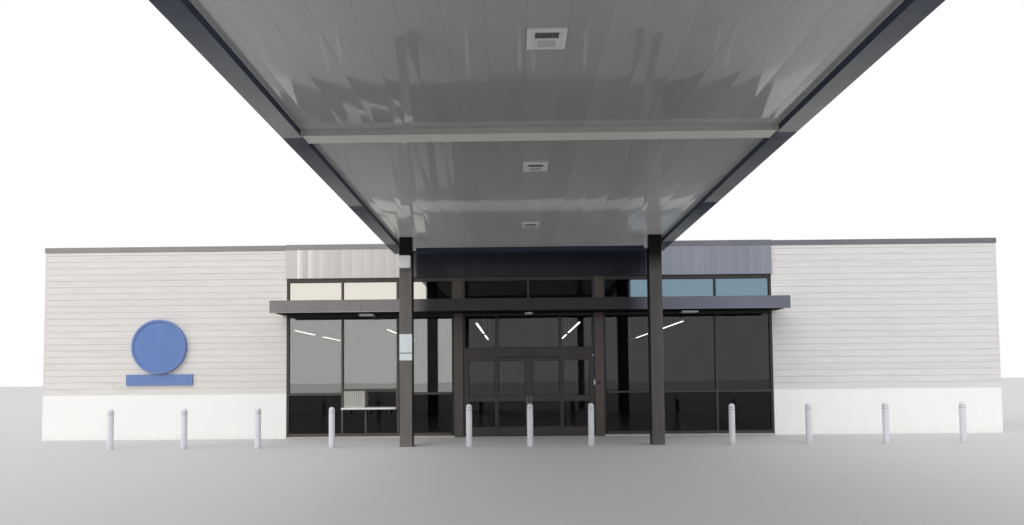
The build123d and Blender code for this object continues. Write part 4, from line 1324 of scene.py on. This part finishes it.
@dataclass
class Entrance:
    """The sliding entrance: leaves, header, sensor and the fittings beside it."""

    sweep: float = 0.007  # The height of the brush under each leaf
    sweep_depth: float = 0.006  # How thick the brush is
    # How far the brush stays from the leaf's ends, and half of how far from its front
    sweep_inset: float = 0.01
    pull: Pair = (0.02, 0.2)  # The width and height of a finger pull
    pull_rise: float = 0.62  # How far above the leaf's glass its pull starts
    # How far from the meeting edge the left and the right pull start
    pull_insets: Pair = (0.05, 0.03)
    cover_line: float = 0.004  # The height of the lines along the header's cover
    # How far the lines are from the header's foot and from its top
    cover_lines: Pair = (0.012, 0.016)
    eyes: tuple[float, ...] = (0.12, 0.42, 0.72)  # Where the sensor's windows start, as shares of its length
    eye: Pair = (0.16, 0.4)  # A window's width and height, as shares of the sensor's
    eye_rise: float = 0.018  # How far above the sensor's foot the windows are
    sill_ribs: int = 9  # How many ribs the threshold has
    rib_pitch: float = 0.022  # From one rib to the next
    first_rib: float = 0.02  # How far behind the threshold's front edge the first rib is
    # A rib's section, outwards and upwards
    rib_section: Outline = ((0.0, 0.0), (0.003, 0.0015), (0.006, 0.0))
    # The turned sections of the push plate, its knob and the key switch, as radii and distances outwards
    plate_section: Outline = ((0.05, 0.0), (0.05, 0.012), (0.045, 0.02), (0.025, 0.026), (0.001, 0.028))
    knob_section: Outline = ((0.02, 0.0), (0.02, 0.008), (0.015, 0.012), (0.001, 0.013))
    key_section: Outline = ((0.02, 0.0), (0.02, 0.004), (0.016, 0.007), (0.006, 0.007), (0.005, 0.002))
    button_height: float = 1.484  # The push button's height
    button_shift: float = 0.013  # How far left of the post's middle it is
    knob_shift: Triple = (0.004, -0.018, 0.025)  # Where the button's knob is on its plate
    key_height: float = 2.227  # The height of the key switch on the header
    key_inset: float = 0.06  # How far the key switch is from the header's end
    switch_height: float = 1.414  # The height of the small white switch
    switch: Triple = (0.036, 0.138, 0.014)  # The white switch's width, height and depth
    lever: Triple = (0.014, 0.05, 0.006)  # The width, height and depth of its lever
    lever_shift: Triple = (0.011, -0.014, 0.045)  # Where the lever is on the switch

    def leaves(self) -> None:
        """Dress both leaves and give each its gaskets, brush and finger pull."""
        for word, inset in zip(("left", "right"), self.pull_insets):
            body, glass = f"{word}_leaf", f"door_glass_{word}"
            # Painted shade on the leaf's sideways faces
            dress(f"door_leaf_{word}", BRONZE_DOOR, BRONZE_SHADED,
                  choose=lambda centre, normal: int(abs(normal.x) > 0.5))
            dress(glass, SHOP_GLASS, LOWER_GLASS, choose=low_pane)
            leaf = block_of(f"door_leaf_{word}")
            gaskets, pull = Piece(f"leaf_gaskets_{word}"), Piece(f"finger_pull_{word}")
            gaskets.press_round(glass)
            foot = leaf.low + Vector((self.sweep_inset, 2 * self.sweep_inset, -self.sweep))
            length = leaf.size.x - 2 * self.sweep_inset
            gaskets.board(foot, Facing.FRONT, length, self.sweep, self.sweep_depth)
            gaskets.make(RUBBER, "bronze_frame", body)
            edge = leaf.high.x - inset if word == "left" else leaf.low.x + inset
            low = Vector((edge, 0.0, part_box(glass)[0].z + self.pull_rise))
            pull.frame(Block(low, low + Vector((self.pull[0], 0.0, self.pull[1]))), leaf.low.y, 0.003, 0.004)
            pull.make(SATIN_STEEL, "bronze_frame", body)

    def package(self) -> None:
        """Dress the header, jambs, threshold and sensor, and line the header with painted shade at its cover's
        edges.
        """
        for node, finish in (("door_header", BRONZE_DOOR), ("door_jambs", BRONZE_DOOR),
                             ("door_threshold", THRESHOLD), ("door_sensor", BLACK_CASE)):
            dress(node, finish)
        header, sensor, sill = (block_of(node) for node in ("door_header", "door_sensor", "door_threshold"))
        cover, eyes, ribs = Piece("header_cover_lines"), Piece("sensor_windows"), Piece("threshold_ribs")
        # Painted shade: dark lines at the cover's edges
        foot, top = self.cover_lines
        for z in (header.low.z + foot, header.high.z - top):
            start = Vector((header.low.x + 0.002, header.low.y, z))
            cover.board(start, Facing.FRONT, header.size.x - 0.004, self.cover_line, 0.0008)
        cover.make(BRONZE_SHADED, "bronze_frame")
        width, height = self.eye
        for share in self.eyes:
            start = sensor.low + Vector((sensor.size.x * share, 0.0, self.eye_rise))
            eyes.board(start, Facing.FRONT, sensor.size.x * width, sensor.size.z * height, 0.0015, 0.0005)
        eyes.make(SENSOR_WINDOW, "sensor_housing")
        for step in range(self.sill_ribs):
            y = sill.low.y + self.first_rib + step * self.rib_pitch
            ribs.run(self.rib_section, Vector((sill.low.x, y, sill.high.z)), Facing.FRONT, sill.size.x)
        ribs.make(THRESHOLD, "threshold_metal")

    def fittings(self) -> None:
        """Mount the push button on the right post, and the key and white switches on the package."""
        post, jamb = (solids_of(node)[1] for node in ("entrance_posts", "door_jambs"))
        header = block_of("door_header")
        plate = Vector((post.centre.x - self.button_shift, post.low.y, self.button_height))
        knob = plate + Vector(self.knob_shift)
        key = Vector((header.high.x - self.key_inset, header.low.y, self.key_height))
        for name, place, section, sides, finish, slot in (
            ("push_plate", plate, self.plate_section, 48, BLACK_CASE, "sensor_housing"),
            ("push_button", knob, self.knob_section, 32, RED_CASE, "sensor_housing"),
            ("key_switch", key, self.key_section, 32, SATIN_STEEL, "threshold_metal"),
        ):
            fitting = Piece(name, smooth=True)
            fitting.lathe(place, Facing.FRONT, section, sides)
            fitting.make(finish, slot)
        switch = Piece("white_switch")
        corner = Vector((jamb.centre.x - self.switch[0] / 2, jamb.low.y, self.switch_height))
        switch.board(corner, Facing.FRONT, *self.switch, 0.004)
        switch.board(corner + Vector(self.lever_shift), Facing.FRONT, *self.lever, 0.002)
        switch.make(WHITE_CASE, "light_housing")

    def build(self) -> None:
        """Build everything of the entrance."""
        self.leaves()
        self.package()
        self.fittings()


@dataclass
class ForecourtCanopy:
    """The long canopy: pans, trough, fascias, steel, lamps and columns."""

    seam: float = 0.0054  # The width of the hem that closes a seam between two pans
    hem: float = 0.0035  # How deep a hem is
    hem_rise: float = 0.005  # How far above the pans' undersides a hem lies
    lip: float = 0.277  # How far the fascia's foot turns in under the pans
    # The section of the trim along the pans' outer edges, outwards and upwards
    edge_section: Outline = ((0.0, 0.0), (0.014, 0.0), (0.016, 0.004), (0.016, 0.011), (0.0, 0.011))
    splice: float = 3.66  # From one joint of the fascia to the next
    first_splice: float = 1.2  # The first joint, from the fascia's end at the store
    splice_clear: float = 1.0  # How far from the fascia's street end a joint stays
    splice_cover: float = 0.18  # The length of the cover over a joint
    # How far a flange of the trough reaches past it, the flange's height and its depth
    flange: Triple = (0.03, 0.085, 0.004)
    throat: float = 0.244  # The width of a lamp's opening between its cheeks
    lamp_reach: float = 0.146  # From a lamp's middle to the edge of its opening
    blades: int = 13  # How many blades a lamp's louvre has
    blade: float = 0.006  # The width of a blade
    # How far before the lamp's middle the louvre starts, and its length
    louvre: Pair = (0.034, 0.112)
    # The same of the bar across the lamp, and its depth
    bar: Triple = (0.006, 0.026, 0.012)
    lens: Triple = (0.183, 0.14, 0.005)  # The width, length and depth of a lamp's lens
    speaker_round: Pair = (0.03, 0.022)  # The radii of the speaker's corners and of its edge
    junction: float = 0.075  # The width of the boxes at the tops of the columns by the store
    junction_height: float = 0.3  # Their height
    junction_round: Pair = (0.008, 0.006)  # The radii of their corners and of their edge
    screw: float = 0.02  # How far a plate's screws are from its edges
    # The turned section of a screw's head, as radii and distances outwards
    screw_section: Outline = ((0.008, 0.0), (0.008, 0.002), (0.005, 0.0035), (0.001, 0.004))
    girder_flange: float = 0.016  # How thick a girder's lower flange is
    # The width, thickness and length of a purlin clip
    clip: Triple = (0.042, 0.012, 0.06)
    clip_past: float = 0.012  # How far a clip reaches past its girder's edge
    clip_start: float = 0.03  # How far before the purlin's middle a clip starts
    nut: Pair = (0.018, 0.014)  # The width and height of the nut on a clip
    nut_shift: Pair = (0.012, -0.02)  # Where the nut is on the clip, along X and Y

    def sheets(self) -> None:
        """Dress the pans, trough, fascias and the steel above them, and close the pans' seams."""
        low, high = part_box("soffit_pans")
        pans = replace(SHADED_PANS, start=(low.x + high.x - SHADED_PANS.width) / 2)
        coat = replace(NAVY, sheet=self.splice, start=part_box("canopy_fascia_sides")[1].y - self.first_splice)
        hems = Piece("pan_seam_hems")
        for pan in solids_of("soffit_pans"):
            if pan.low.x > low.x + 0.01:
                corner = Vector((pan.low.x - self.seam / 2, pan.high.y, low.z + self.hem_rise))
                hems.board(corner, Facing.DOWN, self.seam, pan.size.y, self.hem)
        hems.make(pans, "soffit_enamel")
        # Painted light on the seams' side faces
        dress("soffit_pans", pans, PAN_SEAM_LIFTED, choose=lambda centre, normal: int(abs(normal.x) > 0.3))
        # Painted light and shade: lighter underside, darker sides
        dress("gutter_trough", TROUGH_SHADED_SIDE, TROUGH, choose=underside)
        dress("canopy_purlins", GALVANISED)
        dress("canopy_girders", GALVANISED)
        # Painted shade on the column faces that look to the entrance's middle
        dress("canopy_columns", COLUMN, COLUMN_SHADED_SIDE,
              choose=lambda centre, normal: int(normal.x * (MIDDLE - centre.x) > 0.5))
        dress("canopy_fascia_sides", NAVY_PLAIN, coat, choose=underside)
        dress("canopy_fascia_ends", NAVY_PLAIN)

    def splices(self) -> None:
        """Trim the pans' two outer edges, and lap a cover over each joint of the long fascias."""
        covers, trims = Piece("fascia_splices"), Piece("pan_edge_trims")
        low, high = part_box("canopy_fascia_sides")
        pans = block_of("soffit_pans")
        sides = ((low.x, low.x + self.lip, Facing.RIGHT, pans.low.y),
                 (high.x, high.x - self.lip, Facing.LEFT, pans.high.y))
        for outer, inner, facing, near in sides:
            start = Vector((inner, near, pans.low.z - 0.012))
            trims.run(self.edge_section, start, facing, pans.size.y)
        trims.make(TRIM, "soffit_enamel")
        length = self.splice_cover
        y = high.y - self.first_splice
        while y > low.y + self.splice_clear:
            for outer, inner, facing, near in sides:
                start = Vector((inner, y, low.z - 0.0015)) - facing.across * (length / 2)
                covers.board(start, facing, length, length, 0.003, 0.001)
                below = Vector((min(outer, inner) + 0.004, y + length / 2, low.z))
                covers.board(below, Facing.DOWN, self.lip - 0.004, length, 0.0015, 0.0005)
            y -= self.splice
        covers.make(NAVY_PLAIN, "fascia_panel")

    def trough_ends(self) -> None:
        """Close the trough's two ends with folded flanges on the fascia's inner lips."""
        low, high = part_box("gutter_trough")
        past, height, depth = self.flange
        ends = Piece("trough_flanges")
        for x, y, facing in ((low.x, low.y, Facing.RIGHT), (high.x, high.y, Facing.LEFT)):
            start = Vector((x, y, low.z - 0.002)) - facing.across * past
            ends.board(start, facing, high.y - low.y + 2 * past, height, depth, 0.001)
        ends.make(TROUGH, "trough_enamel")

    def lamps(self) -> None:
        """Dress the trays and fit each with a fine louvre, a cross bar and a lens between two cheeks."""
        dress("canopy_lamps", TRAY)
        words = ("louvres", "louvre_backs", "bars", "lenses")
        louvres, backs, bars, lenses = (Piece(f"lamp_{word}") for word in words)
        half, reach = self.throat / 2, self.lamp_reach
        near, length = self.louvre
        pitch = (self.throat - 2 * self.blade) / (self.blades - 1)
        for tray in solids_of("canopy_lamps"):
            middle = Vector((tray.centre.x, tray.centre.y, tray.low.z + 0.006))
            backs.board(middle + Vector((-half, -near, 0.0)), Facing.DOWN, self.throat, length, 0.001)
            for step in range(self.blades):
                x = (step - (self.blades - 1) / 2) * pitch - self.blade / 2
                corner = middle + Vector((x, -near, 0.0))
                louvres.board(corner, Facing.DOWN, self.blade, length, 0.007, 0.0015)
            before, width, depth = self.bar
            bars.board(middle + Vector((-half, -before, 0.0)), Facing.DOWN, self.throat, width, depth, 0.004)
            for x in (-reach, half):
                corner = middle + Vector((x, reach, 0.0))
                bars.board(corner, Facing.DOWN, reach - half, 2 * reach, 0.005, 0.001)
            corner = middle + Vector((-self.lens[0] / 2, reach - 0.004, 0.0))
            lenses.board(corner, Facing.DOWN, *self.lens, 0.003)
        backs.make(RUBBER, "light_housing")
        louvres.make(GREY_CASE, "light_housing")
        bars.make(TRAY, "light_housing")
        lenses.make(LAMP_LENS, "light_housing")

    def column_fittings(self) -> None:
        """Round the white box, hang the junction boxes and screw the bare plates to the left column."""
        cover, screws = Piece("speaker_cover", smooth=True), Piece("plate_screws", smooth=True)
        cover.case(block_of("speaker_box"), Facing.FRONT, *self.speaker_round)
        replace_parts(cover.make(WHITE_CASE, "light_housing"), "speaker_box")
        boxes = Piece("column_junction_boxes")
        pans = block_of("soffit_pans")
        size = Vector((self.junction, self.junction, self.junction_height))
        for column in solids_of("canopy_columns"):
            if column.centre.y > pans.centre.y:
                x = column.high.x if column.centre.x < MIDDLE else column.low.x - size.x
                corner = Vector((x, column.centre.y - size.y / 2, pans.low.z - size.z))
                boxes.case(Block(corner, corner + size), Facing.FRONT, *self.junction_round)
        boxes.make(TRAY, "light_housing")
        dress("column_plates", PLATE)
        for plate in solids_of("column_plates"):
            for z in (plate.low.z + self.screw, plate.high.z - self.screw):
                place = Vector((plate.centre.x, plate.low.y, z))
                screws.lathe(place, Facing.FRONT, self.screw_section, 16)
        screws.make(SATIN_STEEL, "threshold_metal")

    def clips(self) -> None:
        """Bolt a hook clip beside each girder wherever a purlin crosses below it."""
        clips = Piece("purlin_clips")
        width, thickness, length = self.clip
        nut, nut_height = self.nut
        for girder in solids_of("canopy_girders"):
            for purlin in solids_of("canopy_purlins"):
                y, z = purlin.centre.y - self.clip_start, girder.low.z + self.girder_flange
                for x in (girder.low.x - self.clip_past, girder.high.x + self.clip_past - width):
                    corner = Vector((x, y, z))
                    clips.board(corner, Facing.FRONT, width, thickness, length, 0.002)
                    above = corner + Vector((*self.nut_shift, thickness))
                    clips.board(above, Facing.FRONT, nut, nut_height, nut, 0.002)
        clips.make(GALVANISED, "canopy_steel")

    def build(self) -> None:
        """Build everything of the canopy."""
        self.sheets()
        self.splices()
        self.trough_ends()
        self.lamps()
        self.column_fittings()
        self.clips()


@dataclass
class Forecourt:
    """The row of bollards before the store."""

    # How far below its top the two shallow grooves round each sleeve are
    drops: tuple[float, ...] = (0.085, 0.142)
    ring: float = 0.014  # How high a ring is
    proud: float = 0.0008  # How far a ring stands out of its sleeve
    sunk: float = 0.002  # How far it goes into it

    def build(self) -> None:
        """Dress the sleeves and set a dark ring of painted shade at each groove."""
        dress("bollards", SLEEVE)
        rings = Piece("bollard_rings", smooth=True)
        half = self.ring / 2
        for post in solids_of("bollards"):
            inner, outer = post.size.x / 2 - self.sunk, post.size.x / 2 + self.proud
            section = [(inner, -half), (outer, -half), (outer, half), (inner, half)]
            for drop in self.drops:
                centre = Vector((post.centre.x, post.centre.y, post.high.z - drop))
                rings.lathe(centre, Facing.DOWN, section, 40, closed=True)
        rings.make(SLEEVE_GROOVE_SHADE, "bollard_sleeve")


@dataclass
class ShopInterior:
    """What shows through the glass: the hung line lights."""

    diffuser: float = 0.05  # The width of the lit strip in each housing
    lit: float = 2.4  # How much of each far run is lit, from its near end
    margin: float = 0.01  # How far the strip stays from the housing's ends

    def build(self) -> None:
        """Dress the line lights and set a lit strip into each one's underside."""
        dress("ceiling_lights", GREY_CASE)
        strips = Piece("line_diffusers")
        lights = solids_of("ceiling_lights")
        far_end = max(light.high.y for light in lights)
        for light in lights:
            length = self.lit if light.high.y > far_end - 0.1 else light.size.y - 2 * self.margin
            corner = light.low + Vector(((light.size.x - self.diffuser) / 2, self.margin + length, 0.0))
            strips.board(corner, Facing.DOWN, self.diffuser, length, 0.004, 0.001)
        strips.make(LINE_GLOW, "light_housing")


@dataclass
class Studio:
    """The pale floor, the soft light and the camera at the photograph's place."""

    # The camera's place from the middle of the entrance on the shop front's face
    camera: Triple = (-0.3313, -18.8082, 1.5498)
    pitch: float = 2.4647  # How far it looks up, in degrees
    yaw: float = -0.552  # How far it turns right
    roll: float = -0.5272  # How far its top leans right
    picture: tuple[int, int] = (1024, 525)  # The picture's width and height in pixels
    focal_pixels: float = 681.6  # The focal length in those pixels
    axis_pixel: Pair = (510.23, 351.1)  # The pixel that the optical axis meets
    reach: float = 600.0  # How far the floor goes each way
    drop: float = 0.002  # How far the floor lies below the ground
    sky: float = 0.95  # The strength of the sky's light on the object
    sun: float = 0.9  # The strength of the soft sun
    sun_spread: float = 50.0  # How wide it is, in degrees
    sun_turn: Pair = (48.0, -28.0)  # How far it is tipped back and turned, in degrees

    def aim(self) -> None:
        """Make the camera."""
        pitch, yaw, roll = (math.radians(angle) for angle in (self.pitch, self.yaw, self.roll))
        ahead = Vector((math.sin(yaw) * math.cos(pitch), math.cos(yaw) * math.cos(pitch), math.sin(pitch)))
        level = Vector((math.cos(yaw), -math.sin(yaw), 0.0))
        upright = level.cross(ahead)
        right = level * math.cos(roll) + upright * math.sin(roll)
        top = upright * math.cos(roll) - level * math.sin(roll)
        width, height = self.picture
        lens = bpy.data.cameras.new("camera")
        lens.sensor_fit = "HORIZONTAL"
        lens.sensor_width = 36.0
        lens.lens = self.focal_pixels / width * lens.sensor_width
        lens.shift_x = (width / 2 - self.axis_pixel[0]) / width
        lens.shift_y = (self.axis_pixel[1] - height / 2) / width
        lens.clip_end = 2000.0
        viewer = linked("camera", lens)
        place = Vector((MIDDLE, FACADE, 0.0)) + Vector(self.camera)
        viewer.matrix_world = Matrix.Translation(place) @ Matrix((right, top, -ahead)).transposed().to_4x4()
        bpy.context.scene.camera = viewer

    def floor(self) -> None:
        """Lay the pale floor."""
        mesh = bpy.data.meshes.new("floor")
        sides = ((-1, -1), (1, -1), (1, 1), (-1, 1))
        corners = [(x * self.reach, y * self.reach, -self.drop) for x, y in sides]
        mesh.from_pydata(corners, [], [(0, 1, 2, 3)])
        paint = bpy.data.materials.new("floor")
        Graph(paint).set(Base_Color=(0.6, 0.6, 0.6), Roughness=0.9, Specular_IOR_Level=0.1)
        mesh.materials.append(paint)
        linked("floor", mesh)

    def light(self) -> None:
        """Set the sky, white to the eye and in reflections, and one wide soft sun."""
        world = bpy.data.worlds.new("sky")
        bpy.context.scene.world = world
        graph = Graph(world, "Background")
        rays = graph.add("ShaderNodeLightPath").outputs
        seen = rays["Is Camera Ray"]
        for name in ("Is Glossy Ray", "Is Transmission Ray"):
            seen = graph.maths("MAXIMUM", seen, rays[name])
        graph.set(Color=(1.0, 1.0, 1.0), Strength=graph.spread(seen, 0.0, 1.0, self.sky, 1.0))
        lamp = bpy.data.lights.new("sun", "SUN")
        lamp.energy = self.sun
        lamp.angle = math.radians(self.sun_spread)
        tipped, turned = self.sun_turn
        linked("sun", lamp).rotation_euler = (math.radians(tipped), 0.0, math.radians(turned))

    def build(self) -> None:
        """Set up the studio."""
        self.aim()
        self.floor()
        self.light()
        bpy.context.scene.view_settings.view_transform = "Standard"


def main() -> None:
    """Build the studio and the store's sub-assemblies in order."""
    logging.basicConfig(level=logging.INFO, format="%(message)s")
    for part in (Studio, StoreShell, ShopFront, Entrance, ForecourtCanopy, Forecourt, ShopInterior):
        log.info("building %s", part.__name__)
        part().build()


if __name__ == "__main__":
    main()
